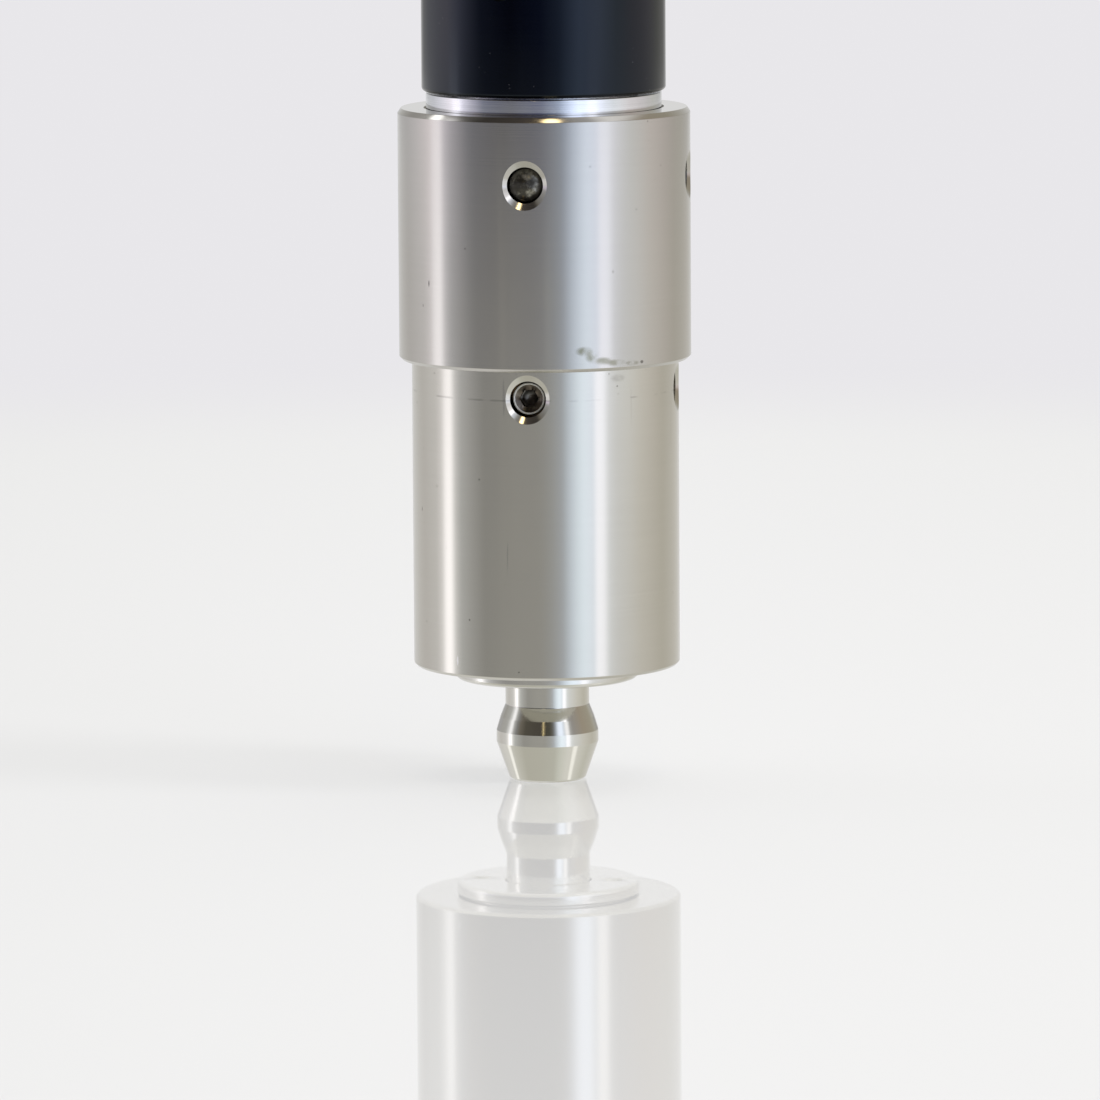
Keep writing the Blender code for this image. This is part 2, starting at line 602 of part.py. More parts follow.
def make_spring():
    """The compression spring between the holder's floor and the hub, and its seat washer."""
    washer = ring_profile(
        SPRING_R - 2 * WIRE_R, SPRING_R + 2 * WIRE_R, HOLDER_FLOOR + SEAT, HOLDER_FLOOR + SEAT + WASHER_THICK
    )
    place(turned("spring_seat_washer", washer, INNER_FACETS), HOLDER_AXIS, BEARING_STEEL)
    low = HOLDER_FLOOR + 2 * SEAT + WASHER_THICK + WIRE_R
    high = HUB_LOW - SEAT - WIRE_R
    middle_turns = SPRING_TURNS - 2 * SPRING_END_TURNS
    middle_pitch = (high - low - 2 * SPRING_END_TURNS * SPRING_END_PITCH) / middle_turns
    points = []
    for step in range(round(SPRING_TURNS * SPRING_POINTS_PER_TURN) + 1):
        turn = step / SPRING_POINTS_PER_TURN
        first = min(turn, SPRING_END_TURNS)
        middle = min(max(turn - SPRING_END_TURNS, 0), middle_turns)
        last = max(turn - SPRING_END_TURNS - middle_turns, 0)
        height = low + (first + last) * SPRING_END_PITCH + middle * middle_pitch
        angle = math.tau * turn
        points.append((SPRING_R * math.cos(angle), SPRING_R * math.sin(angle), height))
    curve = bpy.data.curves.new("compression_spring", "CURVE")
    curve.dimensions = "3D"
    curve.bevel_depth = WIRE_R
    curve.bevel_resolution = 2
    curve.use_fill_caps = True
    spline = curve.splines.new("POLY")
    spline.points.add(len(points) - 1)
    for target, point in zip(spline.points, points):
        target.co = (*point, 1.0)
    place(bpy.data.objects.new("compression_spring", curve), SPINDLE_AXIS, SPRING_STEEL)


def race_arc(height, towards_axis):
    """Points of a ball groove's section: from its top to its bottom on an inner ring."""
    radius = BALL_R + RACE_PLAY
    side = -1 if towards_axis else 1
    spread = (-50, -25, 0, 25, 50)
    points = [
        (PITCH_R + side * radius * math.cos(math.radians(a)), height - radius * math.sin(math.radians(a)))
        for a in spread
    ]
    return points if towards_axis else points[::-1]


def make_bearing(prefix, low):
    """One ball bearing: two grooved rings, a cage and its balls."""
    high = low + BEARING_WIDTH
    middle = (low + high) / 2
    groove = race_arc(middle, towards_axis=True)
    inner_profile = [(groove[0][0], high), *groove, (groove[0][0], low)]
    inner_profile += [(BEARING_BORE_R + FIT, low), (BEARING_BORE_R + FIT, high)]
    place(turned(prefix + "_inner_ring", inner_profile, INNER_FACETS), SPINDLE_AXIS, BEARING_STEEL)
    groove = race_arc(middle, towards_axis=False)
    outer_profile = [(BEARING_R, high), (BEARING_R, low), (groove[0][0], low), *groove, (groove[0][0], high)]
    place(turned(prefix + "_outer_ring", outer_profile, INNER_FACETS), HOUSING_AXIS, BEARING_STEEL)

    cage_axis = make_axis(prefix + "_cage_axis", middle, HOUSING_AXIS)
    cage = turned(
        prefix + "_cage",
        ring_profile(PITCH_R - CAGE_WALL / 2, PITCH_R + CAGE_WALL / 2, -CAGE_HALF_HEIGHT, CAGE_HALF_HEIGHT),
        INNER_FACETS,
    )
    place(cage, cage_axis, BRASS)
    for number in range(1, BALLS + 1):
        angle = math.tau * number / BALLS
        pocket = prism(f"{prefix}_pocket_{number}", BALL_R + FIT, -2 * CAGE_WALL, 2 * CAGE_WALL, SMALL_FACETS)
        pocket.parent = cage_axis
        cut(cage, as_cutter(aim_outwards(pocket, angle, 0, PITCH_R)))
        bm = bmesh.new()
        bmesh.ops.create_uvsphere(bm, u_segments=10, v_segments=6, radius=BALL_R)
        ball = place(mesh_object(f"{prefix}_ball_{number}", bm), cage_axis, BEARING_STEEL)
        aim_outwards(ball, angle, 0, PITCH_R)


def make_spacers():
    """The two sleeves that hold the bearings apart."""
    low = LOWER_BEARING_HIGH + SEAT
    high = UPPER_BEARING_LOW - SEAT
    outer = ring_profile(BEARING_R - 1.5 * MM, BEARING_R, low, high)
    place(turned("outer_spacer", outer, INNER_FACETS), HOUSING_AXIS, ALUMINIUM)
    inner = ring_profile(BEARING_BORE_R + FIT, BEARING_BORE_R + 1.3 * MM, low, high)
    place(turned("inner_spacer", inner, INNER_FACETS), SPINDLE_AXIS, ALUMINIUM)


def make_neck():
    """The bright threaded retainer under the lower bearing, and the seal inside it."""
    seal_r = SHAFT_R + SEAL_RADIAL
    profile = [
        (HOUSING_BORE_R - FIT, LOWER_BEARING_LOW - SEAT),
        (HOUSING_BORE_R - FIT, HOUSING_LOW - SEAT),
        (NECK_R, HOUSING_LOW - SEAT),
        (NECK_R, NECK_LOW),
        (SHAFT_R + 2 * FIT, NECK_LOW),
        (SHAFT_R + 2 * FIT, LOWER_SEAL_LOW - SEAT),
        (seal_r + FIT, LOWER_SEAL_LOW - SEAT),
        (seal_r + FIT, LOWER_BEARING_LOW - SEAT),
    ]
    place(turned("bearing_retainer", profile), HOUSING_AXIS, ALUMINIUM)
    seal = ring_profile(SHAFT_R + FIT, seal_r, LOWER_SEAL_LOW, LOWER_SEAL_HIGH)
    place(turned("lower_shaft_seal", seal, INNER_FACETS), HOUSING_AXIS, RUBBER)


def add_lock_screw(wall, number, angle, height):
    """Drills a housing piece's threaded skirt and puts a small lock screw in the hole."""
    skirt = HOUSING_R - HOUSING_THREAD_R
    hole = prism(f"lock_screw_hole_{number}", LOCK_SCREW_R + FIT, -skirt - SEAT, skirt, SMALL_FACETS)
    cut(wall, as_cutter(aim_outwards(hole, angle, height, HOUSING_R)))
    screw = prism(f"cap_lock_screw_{number}", LOCK_SCREW_R, -skirt + SEAT, -SEAT, SMALL_FACETS)
    socket = as_cutter(
        prism(f"lock_screw_socket_{number}", LOCK_SCREW_SOCKET / math.sqrt(3), -LOCK_SCREW_DEPTH, MM, 6)
    )
    socket.parent = screw
    cut(screw, socket)
    place(aim_outwards(screw, angle, height, HOUSING_R), HOUSING_AXIS, DARK_STEEL)


def make_housing():
    """The two-part black bearing housing."""
    thread_low = LOWER_CAP_HIGH - THREAD_LENGTH
    low_profile = [
        (HOUSING_R - SEAM_EDGE, LOWER_CAP_HIGH),
        (HOUSING_R, LOWER_CAP_HIGH - SEAM_EDGE),
        (HOUSING_R, HOUSING_LOW + LOWER_CAP_EDGE),
        (HOUSING_R - LOWER_CAP_EDGE, HOUSING_LOW),
        (HOUSING_BORE_R, HOUSING_LOW),
        (HOUSING_BORE_R, thread_low),
        (HOUSING_THREAD_R + FIT, thread_low),
        (HOUSING_THREAD_R + FIT, LOWER_CAP_HIGH),
    ]
    lower_cap = place(turned("lower_bearing_cap", low_profile), HOUSING_AXIS, BLACK_ANODISED)
    add_lock_screw(lower_cap, 3, LOWER_LOCK_ANGLE, LOWER_CAP_HIGH - LOWER_LOCK_DROP)
    base = LOWER_CAP_HIGH + SEAT
    cap_seat = UPPER_BEARING_HIGH
    profile = [
        (HOUSING_R - SEAM_EDGE, HOUSING_HIGH),
        (HOUSING_R, HOUSING_HIGH - SEAM_EDGE),
        (HOUSING_R, base + SEAM_EDGE),
        (HOUSING_R - SEAM_EDGE, base),
        (HOUSING_THREAD_R, base),
        (HOUSING_THREAD_R, thread_low + SEAT),
        (HOUSING_BORE_R, thread_low + SEAT),
        (HOUSING_BORE_R, cap_seat),
        (HOUSING_THREAD_R + FIT, cap_seat),
        (HOUSING_THREAD_R + FIT, HOUSING_HIGH),
    ]
    housing = place(turned("spindle_housing", profile), HOUSING_AXIS, BLACK_ANODISED)
    flat_middle = base + FLAT_ABOVE_SEAM + FLAT_LENGTH / 2
    for side, name in ((-1, "left"), (1, "right")):
        flat = block(
            "spanner_flat_" + name,
            (2 * FLAT_DEPTH, 2 * HOUSING_R, FLAT_LENGTH),
            (side * HOUSING_R, 0, flat_middle),
        )
        cut(housing, as_cutter(flat))
    return housing


def make_top_cap(housing):
    """The threaded cap whose flat top is bolted to the machine, its seal and its lock screws."""
    seal_r = BEARING_BORE_R + SEAL_RADIAL
    nut_space = NUT_R + 4 * FIT
    profile = [
        (HOUSING_R - TOP_CAP_EDGE, MACHINE_FACE),
        (HOUSING_R, MACHINE_FACE - TOP_CAP_EDGE),
        (HOUSING_R, HOUSING_HIGH + SEAT),
        (HOUSING_THREAD_R, HOUSING_HIGH + SEAT),
        (HOUSING_THREAD_R, UPPER_BEARING_HIGH + SEAT),
        (nut_space, UPPER_BEARING_HIGH + SEAT),
        (nut_space, NUT_HIGH + 2 * SEAT),
        (seal_r + FIT, NUT_HIGH + 2 * SEAT),
        (seal_r + FIT, UPPER_SEAL_HIGH + SEAT),
        (BEARING_BORE_R + 3 * FIT, UPPER_SEAL_HIGH + SEAT),
        (BEARING_BORE_R + 3 * FIT, MACHINE_FACE),
    ]
    cap = place(turned("top_cap", profile), HOUSING_AXIS, BLACK_ANODISED)
    for number in range(1, MACHINE_HOLES + 1):
        angle = math.tau * (number - 0.5) / MACHINE_HOLES + math.pi / 2
        hole = prism(
            f"machine_hole_{number}",
            MACHINE_HOLE_R,
            MACHINE_FACE - MACHINE_HOLE_DEPTH,
            MACHINE_FACE + MM,
            SMALL_FACETS,
        )
        hole.location = (MACHINE_HOLE_CIRCLE_R * math.cos(angle), MACHINE_HOLE_CIRCLE_R * math.sin(angle), 0)
        cut(cap, as_cutter(hole))
    seal = ring_profile(BEARING_BORE_R + FIT, seal_r, UPPER_SEAL_LOW, UPPER_SEAL_HIGH)
    place(turned("upper_shaft_seal", seal, INNER_FACETS), HOUSING_AXIS, RUBBER)

    for number, degrees in ((1, 90), (2, 270)):
        add_lock_screw(housing, number, math.radians(degrees), UPPER_BEARING_HIGH + THREAD_LENGTH / 2)


def shade_pieces():
    """Bakes each piece's modifiers into its mesh and shades its round faces smooth."""
    depsgraph = bpy.context.evaluated_depsgraph_get()
    baked = {
        piece: bpy.data.meshes.new_from_object(piece.evaluated_get(depsgraph))
        for piece in PARTS.objects
        if piece.type == "MESH"
    }
    for piece, mesh in baked.items():
        piece.modifiers.clear()
        piece.data = mesh
        mesh.name = piece.name
        mesh.shade_smooth()
        mesh.set_sharp_from_angle(angle=SHARP_ANGLE)


def main():
    """Makes every piece, from the tip upwards."""
    dowel_x, dowel_hole_high = make_tip()
    make_retaining_ring()
    make_holder(dowel_x, dowel_hole_high)
    make_spring()
    pin_hole = make_hub()
    make_collar()
    make_shaft(pin_hole)
    make_bearing("lower_bearing", LOWER_BEARING_LOW)
    make_bearing("upper_bearing", UPPER_BEARING_LOW)
    make_spacers()
    make_neck()
    make_top_cap(make_housing())
    shade_pieces()


main()
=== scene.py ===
"""Looks and studio for the capping head.

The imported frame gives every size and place.  Each sub-assembly below is a class that builds
its visible pieces as fine turned, milled and drilled meshes over the frame's nodes, dresses
them in procedural finishes and lets them ride on the frame's bodies.  All lengths are metres
in the frame's axes, with +Z up the spindle.
"""

from __future__ import annotations

import json
import logging
import math
from collections.abc import Callable, Iterable, Mapping, Sequence
from dataclasses import dataclass, field
from enum import Enum
from typing import Any

import bmesh
import bpy
from mathutils import Matrix, Vector, noise

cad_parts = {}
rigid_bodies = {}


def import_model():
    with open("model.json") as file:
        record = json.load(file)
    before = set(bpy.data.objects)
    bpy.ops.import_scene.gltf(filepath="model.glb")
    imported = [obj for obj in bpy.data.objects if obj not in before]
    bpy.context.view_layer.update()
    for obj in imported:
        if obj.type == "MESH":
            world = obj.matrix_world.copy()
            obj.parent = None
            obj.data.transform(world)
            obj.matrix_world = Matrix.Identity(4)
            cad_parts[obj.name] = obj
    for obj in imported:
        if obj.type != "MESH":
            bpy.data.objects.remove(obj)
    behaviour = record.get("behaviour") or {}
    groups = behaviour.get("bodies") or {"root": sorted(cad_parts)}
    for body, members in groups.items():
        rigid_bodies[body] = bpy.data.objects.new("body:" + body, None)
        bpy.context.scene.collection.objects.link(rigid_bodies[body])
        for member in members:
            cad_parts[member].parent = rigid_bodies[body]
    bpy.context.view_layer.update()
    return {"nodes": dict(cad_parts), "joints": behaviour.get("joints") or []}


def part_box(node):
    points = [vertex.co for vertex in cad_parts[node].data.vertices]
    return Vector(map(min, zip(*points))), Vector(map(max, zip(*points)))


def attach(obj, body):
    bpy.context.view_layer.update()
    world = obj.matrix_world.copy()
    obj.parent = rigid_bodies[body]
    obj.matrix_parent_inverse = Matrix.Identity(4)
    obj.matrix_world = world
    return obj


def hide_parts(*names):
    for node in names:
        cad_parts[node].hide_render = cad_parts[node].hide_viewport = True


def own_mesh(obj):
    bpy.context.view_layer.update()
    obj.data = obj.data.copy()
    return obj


LOG = logging.getLogger("capping_head")
MM = 0.001

Colour = tuple[float, float, float]
Corner = tuple[float, float, float]


class Body(Enum):
    """The moving bodies of the head."""

    HOUSING = "housing"
    SPINDLE = "spindle"
    HOLDER = "tool_holder"
    LOWER_CAGE = "lower_cage"
    UPPER_CAGE = "upper_cage"


class Slot(Enum):
    """The record's material slots."""

    BLACK = "black_anodised"
    ALUMINIUM = "turned_aluminium"
    STAINLESS = "turned_stainless"
    POLISHED = "polished_stainless"
    BLACKENED = "blackened_steel"
    BEARING = "bearing_steel"
    SPRING = "spring_steel"
    BRASS = "brass"
    BRONZE = "bronze"
    RUBBER = "nitrile_rubber"


# ---------------------------------------------------------------------------- shader graph


class Wire:
    """One output of a shader node, with arithmetic that adds Math nodes."""

    def __init__(self, graph: "Graph", socket: bpy.types.NodeSocket) -> None:
        """Wraps a node's output socket."""
        self.graph = graph
        self.socket = socket

    def _math(self, operation: str, *values: "Wire | float") -> "Wire":
        """Adds a Math node."""
        return self.graph.add("ShaderNodeMath", {"operation": operation}, dict(enumerate(values)))["Value"]

    def __add__(self, other: "Wire | float") -> "Wire":
        """self + other."""
        return self._math("ADD", self, other)

    def __radd__(self, other: float) -> "Wire":
        """other + self."""
        return self._math("ADD", other, self)

    def __sub__(self, other: "Wire | float") -> "Wire":
        """self - other."""
        return self._math("SUBTRACT", self, other)

    def __rsub__(self, other: float) -> "Wire":
        """other - self."""
        return self._math("SUBTRACT", other, self)

    def __mul__(self, other: "Wire | float") -> "Wire":
        """self * other."""
        return self._math("MULTIPLY", self, other)

    def __rmul__(self, other: float) -> "Wire":
        """other * self."""
        return self._math("MULTIPLY", other, self)

    def __truediv__(self, other: "Wire | float") -> "Wire":
        """self / other."""
        return self._math("DIVIDE", self, other)

    def __rtruediv__(self, other: float) -> "Wire":
        """other / self."""
        return self._math("DIVIDE", other, self)

    def __pow__(self, other: float) -> "Wire":
        """self ** other."""
        return self._math("POWER", self, other)

    def arctangent(self, other: "Wire") -> "Wire":
        """The angle of the point (other, self), in radians."""
        return self._math("ARCTAN2", self, other)

    def arcsine(self) -> "Wire":
        """The arcsine, in radians."""
        return self._math("ARCSINE", self)

    def root(self) -> "Wire":
        """The square root."""
        return self._math("SQRT", self)

    def fraction(self) -> "Wire":
        """The fractional part."""
        return self._math("FRACT", self)

    def ramp(self, low: float, high: float) -> "Wire":
        """A smooth step from 0 at low to 1 at high; high may be the smaller."""
        settings = {"interpolation_type": "SMOOTHSTEP", "clamp": True}
        if low < high:
            return self.graph.add("ShaderNodeMapRange", settings, {0: self, 1: low, 2: high})["Result"]
        sockets = {0: self, 1: high, 2: low, 3: 1.0, 4: 0.0}
        return self.graph.add("ShaderNodeMapRange", settings, sockets)["Result"]


@dataclass
class Node:
    """A shader node whose outputs are read by name."""

    graph: "Graph"
    node: bpy.types.Node

    def __getitem__(self, name: str) -> Wire:
        """The output of this name that the node's settings enable."""
        named = [o for o in self.node.outputs if name in (o.identifier, o.name)]
        return Wire(self.graph, next((o for o in named if o.enabled), named[0]))


class Graph:
    """Builds one node tree."""

    def __init__(self, tree: bpy.types.NodeTree) -> None:
        """Empties the tree."""
        self.tree = tree
        tree.nodes.clear()

    def add(
        self,
        kind: str,
        settings: Mapping[str, Any] | None = None,
        sockets: Mapping[int | str, Any] | None = None,
    ) -> Node:
        """Adds a node.

        Args:
            kind: the node's type.
            settings: properties set first; "stops" is a ramp's list of (place, colour).
            sockets: values or wires by input number or name.

        Returns:
            The node.
        """
        node = self.tree.nodes.new(kind)
        for key, value in (settings or {}).items():
            if key == "stops":
                self._set_stops(node.color_ramp, value)
            else:
                setattr(node, key, value)
        for key, value in (sockets or {}).items():
            if isinstance(key, int):
                target = node.inputs[key]
            else:
                target = next(i for i in node.inputs if i.identifier == key or (i.name == key and i.enabled))
            if isinstance(value, Wire):
                self.tree.links.new(value.socket, target)
            else:
                target.default_value = value
        return Node(self, node)

    @staticmethod
    def _set_stops(ramp: bpy.types.ColorRamp, stops: Sequence[tuple[float, Colour]]) -> None:
        """Gives a colour ramp its stops."""
        while len(ramp.elements) > 1:
            ramp.elements.remove(ramp.elements[-1])
        ramp.elements[0].position = stops[0][0]
        ramp.elements[0].color = (*stops[0][1], 1.0)
        for place, colour in stops[1:]:
            ramp.elements.new(place).color = (*colour, 1.0)

    def mix(self, factor: Wire | float, first: Wire | Colour, second: Wire | Colour) -> Wire:
        """Mixes two colours."""
        sides = {"A_Color": first, "B_Color": second}
        sockets = {k: (*v, 1.0) if isinstance(v, tuple) else v for k, v in sides.items()}
        settings = {"data_type": "RGBA"}
        return self.add("ShaderNodeMix", settings, {"Factor_Float": factor, **sockets})["Result_Color"]

    def vector(self, x: Wire | float, y: Wire | float, z: Wire | float) -> Wire:
        """Joins three values into a vector."""
        return self.add("ShaderNodeCombineXYZ", None, {"X": x, "Y": y, "Z": z})["Vector"]

    def scaled(self, vector: Wire, by: Colour) -> Wire:
        """Scales a vector along each axis."""
        return self.add("ShaderNodeVectorMath", {"operation": "MULTIPLY"}, {0: vector, 1: by})["Vector"]

    def distance(self, vector: Wire, point: Colour) -> Wire:
        """The distance from a vector to a fixed point."""
        return self.add("ShaderNodeVectorMath", {"operation": "DISTANCE"}, {0: vector, 1: point})["Value"]

    def noise(self, vector: Wire, scale: float, detail: float = 2.0, rough: float = 0.5) -> Wire:
        """Noise around 0.5."""
        sockets = {"Vector": vector, "Scale": scale, "Detail": detail, "Roughness": rough}
        return self.add("ShaderNodeTexNoise", {"noise_dimensions": "3D"}, sockets)["Fac"]

    def specks(self, vector: Wire, scale: float, size: float) -> Wire:
        """1 inside small round specks, each at the heart of a cell."""
        cells = self.add("ShaderNodeTexVoronoi", None, {"Vector": vector, "Scale": scale})["Distance"]
        return cells.ramp(size, 0.6 * size)


class Turned:
    """The coordinates of a surface that was turned about Z."""

    def __init__(self, graph: Graph) -> None:
        """Reads the object's coordinates and splits them."""
        self.graph = graph
        self.place = graph.add("ShaderNodeTexCoord")["Object"]
        split = graph.add("ShaderNodeSeparateXYZ", None, {"Vector": self.place})
        self.x, self.y, self.z = split["X"], split["Y"], split["Z"]
        self.radius = (self.x * self.x + self.y * self.y).root()

    def tool_marks(self, per_metre: float, wander: float = 40.0, detail: float = 3.0) -> Wire:
        """Fine rings left by the lathe tool, around 0.5, along the side and over the ends."""
        along = (self.z + self.radius * 0.93) * per_metre
        return self.graph.noise(self.graph.vector(self.x * wander, self.y * wander, along), 1.0, detail, 0.6)


# -------------------------------------------------------------------------------- finishes


@dataclass(frozen=True)
class Mark:
    """A mark that handling left on a turned wall.

    Attributes:
        azimuth: its middle, in degrees about Z.
        radius: the wall's radius.
        height: its middle's height.
        reach: half its width and half its height.
        colour: what it turns the metal to.
        strength: how much it covers.
        broken: how coarsely it is broken up, as patches per metre; 0 keeps it whole.
        soft: how gently the patches fade.
    """

    azimuth: float
    radius: float
    height: float
    reach: tuple[float, float]
    colour: Colour
    strength: float
    broken: float = 0.0
    soft: float = 0.13

    def mask(self, turned: Turned) -> Wire:
        """Where the mark lies, from 0 to its strength."""
        angle = math.radians(self.azimuth)
        squeeze = (1 / self.reach[0], 1 / self.reach[0], 1 / self.reach[1])
        centre = (self.radius * math.cos(angle), self.radius * math.sin(angle), self.height)
        near = turned.graph.distance(
            turned.graph.scaled(turned.place, squeeze), tuple(c * s for c, s in zip(centre, squeeze))
        )
        if not self.broken:
            return near.ramp(1.0, 0.45) * self.strength
        patches = turned.graph.noise(turned.place, self.broken, 3.0, 0.5)
        return near.ramp(1.0, 0.3) * patches.ramp(0.3, 0.3 + self.soft) * self.strength


@dataclass(frozen=True)
class Finish:
    """A metal or other surface, made by a turning tool unless a subclass says otherwise.

    Attributes:
        label: the material's name.
        colour: its colour.
        roughness: its mean roughness.
        metallic: 1 for bare metal, 0 for everything else.
        marks_per_metre: how close the tool marks lie.
        mark_depth: how deep they are.
        unevenness: how far the roughness wanders.
        tarnish: how far the colour wanders.
        ior: the index of refraction.
        cast: the colour of what a dielectric reflects head-on.
    """

    label: str
    colour: Colour
    roughness: float
    metallic: float = 1.0
    marks_per_metre: float = 8000.0
    mark_depth: float = 0.0000007
    unevenness: float = 0.04
    tarnish: float = 0.05
    ior: float = 1.5
    cast: Colour = (1.0, 1.0, 1.0)

    def material(self) -> bpy.types.Material:
        """The finish's material, made once."""
        made = bpy.data.materials.get(f"finish_{self.label}")
        if made is None:
            made = bpy.data.materials.new(f"finish_{self.label}")
            made.use_nodes = True
            self._wire(Graph(made.node_tree))
        return made

    def _wire(self, graph: Graph) -> None:
        """Builds the node tree from colour(), roughness and relief."""
        turned = Turned(graph)
        marks = turned.tool_marks(self.marks_per_metre)
        cloud = graph.noise(turned.place, 180.0, 3.0)
        bump = graph.add(
            "ShaderNodeBump",
            None,
            {"Strength": 1.0, "Distance": self.mark_depth, "Height": self.relief(turned, marks)},
        )["Normal"]
        shader = graph.add(
            "ShaderNodeBsdfPrincipled",
            None,
            {
                "Base Color": self.tint(turned, marks, cloud),
                "Metallic": self.metallic,
                "Roughness": self.gloss(turned, marks, cloud),
                "IOR": self.ior,
                "Specular Tint": (*self.cast, 1.0),
                "Normal": bump,
            },
        )
        graph.add("ShaderNodeOutputMaterial", None, {"Surface": shader["BSDF"]})

    def shade(self, factor: float) -> Colour:
        """The colour, made lighter or darker."""
        return tuple(min(c * factor, 1.0) for c in self.colour)

    def tint(self, turned: Turned, marks: Wire, cloud: Wire) -> Wire:
        """The colour over the surface."""
        mixed = (marks * 0.6 + cloud * 0.4).ramp(0.25, 0.75)
        return turned.graph.mix(mixed, self.shade(1 - self.tarnish), self.shade(1 + self.tarnish))

    def gloss(self, turned: Turned, marks: Wire, cloud: Wire) -> Wire:
        """The roughness over the surface."""
        return (cloud - 0.5) * (2 * self.unevenness) + (marks - 0.5) * self.unevenness + self.roughness

    def relief(self, turned: Turned, marks: Wire) -> Wire:
        """The height of the surface, in units of mark_depth."""
        return marks


@dataclass(frozen=True)
class WornSteel(Finish):
    """Turned stainless steel with specks, hairline scratches and the marks of handling.

    Attributes:
        marks: the marks of handling.
        line_height: height of the worn line round the wall, if it has one.
        faced: height from which a finely faced end starts, if it has one.
        speck_colour: the specks' colour.
    """

    marks: tuple[Mark, ...] = ()
    line_height: float | None = None
    faced: float | None = None
    speck_colour: Colour = (0.16, 0.15, 0.13)

    def _scratches(self, turned: Turned) -> Wire:
        """Long thin scratches, from 0 to 1."""
        stretched = turned.graph.scaled(turned.place, (900.0, 900.0, 55.0))
        return turned.graph.noise(stretched, 1.0, 1.0).ramp(0.735, 0.77)

    def tint(self, turned: Turned, marks: Wire, cloud: Wire) -> Wire:
        """The turned colour with its specks, worn line and marks laid over."""
        graph = turned.graph
        colour = super().tint(turned, marks, cloud)
        rare = graph.noise(turned.place, 260.0, 1.0).ramp(0.6, 0.66)
        colour = graph.mix(graph.specks(turned.place, 620.0, 0.1) * rare * 0.55, colour, self.speck_colour)
        if self.line_height is not None:
            line = (turned.z - self.line_height) * (turned.z - self.line_height)
            dashes = graph.noise(turned.place, 330.0, 3.0).ramp(0.44, 0.58)
            worn = line.ramp((0.16 * MM) ** 2, 0.0) * dashes * 0.4
            colour = graph.mix(worn, colour, self.shade(0.45))
        for mark in self.marks:
            colour = graph.mix(mark.mask(turned), colour, mark.colour)
        return colour

    def gloss(self, turned: Turned, marks: Wire, cloud: Wire) -> Wire:
        """Marks and scratches are duller than the metal, and a faced end is smoother."""
        rough = super().gloss(turned, marks, cloud) + self._scratches(turned) * 0.1
        for mark in self.marks:
            rough = rough + mark.mask(turned) * 0.25
        if self.faced is not None:
            rough = rough * (turned.z.ramp(self.faced, self.faced - 0.05 * MM) * 0.8 + 0.2)
        return rough

    def relief(self, turned: Turned, marks: Wire) -> Wire:
        """Tool marks with the scratches cut in."""
        return marks - self._scratches(turned) * 1.5


@dataclass(frozen=True)
class Anodised(Finish):
    """Black anodised aluminium: a dark dye in a satin oxide skin.

    Attributes:
        dust: the colour of the dust in its tool marks.
    """

    dust: Colour = (0.10, 0.10, 0.11)

    def tint(self, turned: Turned, marks: Wire, cloud: Wire) -> Wire:
        """Black, with a trace of dust in the tool marks."""
        colour = super().tint(turned, marks, cloud)
        motes = turned.graph.specks(turned.place, 900.0, 0.1) * cloud.ramp(0.55, 0.62)
        return turned.graph.mix(motes * 0.35, colour, self.dust)


@dataclass(frozen=True)
class Mottled(Finish):
    """A dark compound or a blackened surface, mottled light and dark; on the sealed screws the pale patches
    are painted highlights and the dark edge is painted shade.

    Attributes:
        pale: the colour of the paler patches: worn coating on black oxide, painted highlights on the sealed
            screws.
        cover: how much of the surface they take.
        scale: how coarsely they lie, as patches per metre.
        painted_shade_radius: radius from which the surface stays dark, as painted shade round the edge.
    """

    pale: Colour = (0.30, 0.29, 0.27)
    cover: float = 0.5
    scale: float = 1500.0
    painted_shade_radius: float = 1.0

    def tint(self, turned: Turned, marks: Wire, cloud: Wire) -> Wire:
        """Dark, broken by paler patches: worn coating on black oxide and painted highlights on the sealed
        screws, whose edge stays dark as painted shade.
        """
        patches = turned.graph.noise(turned.place, self.scale, 4.0, 0.6)
        # Pale patches, faded out towards the edge so that the edge keeps a painted shade.
        worn = patches.ramp(0.62 - 0.2 * self.cover, 0.75) * turned.radius.ramp(self.painted_shade_radius, 0.6 * self.painted_shade_radius)
        return turned.graph.mix(worn, self.colour, self.pale)

    def gloss(self, turned: Turned, marks: Wire, cloud: Wire) -> Wire:
        """A roughness that wanders over the surface."""
        return turned.graph.noise(turned.place, 1100.0, 3.0) * 0.3 + (self.roughness - 0.15)

    def relief(self, turned: Turned, marks: Wire) -> Wire:
        """A fine grain."""
        return turned.graph.noise(turned.place, 2400.0, 3.0)


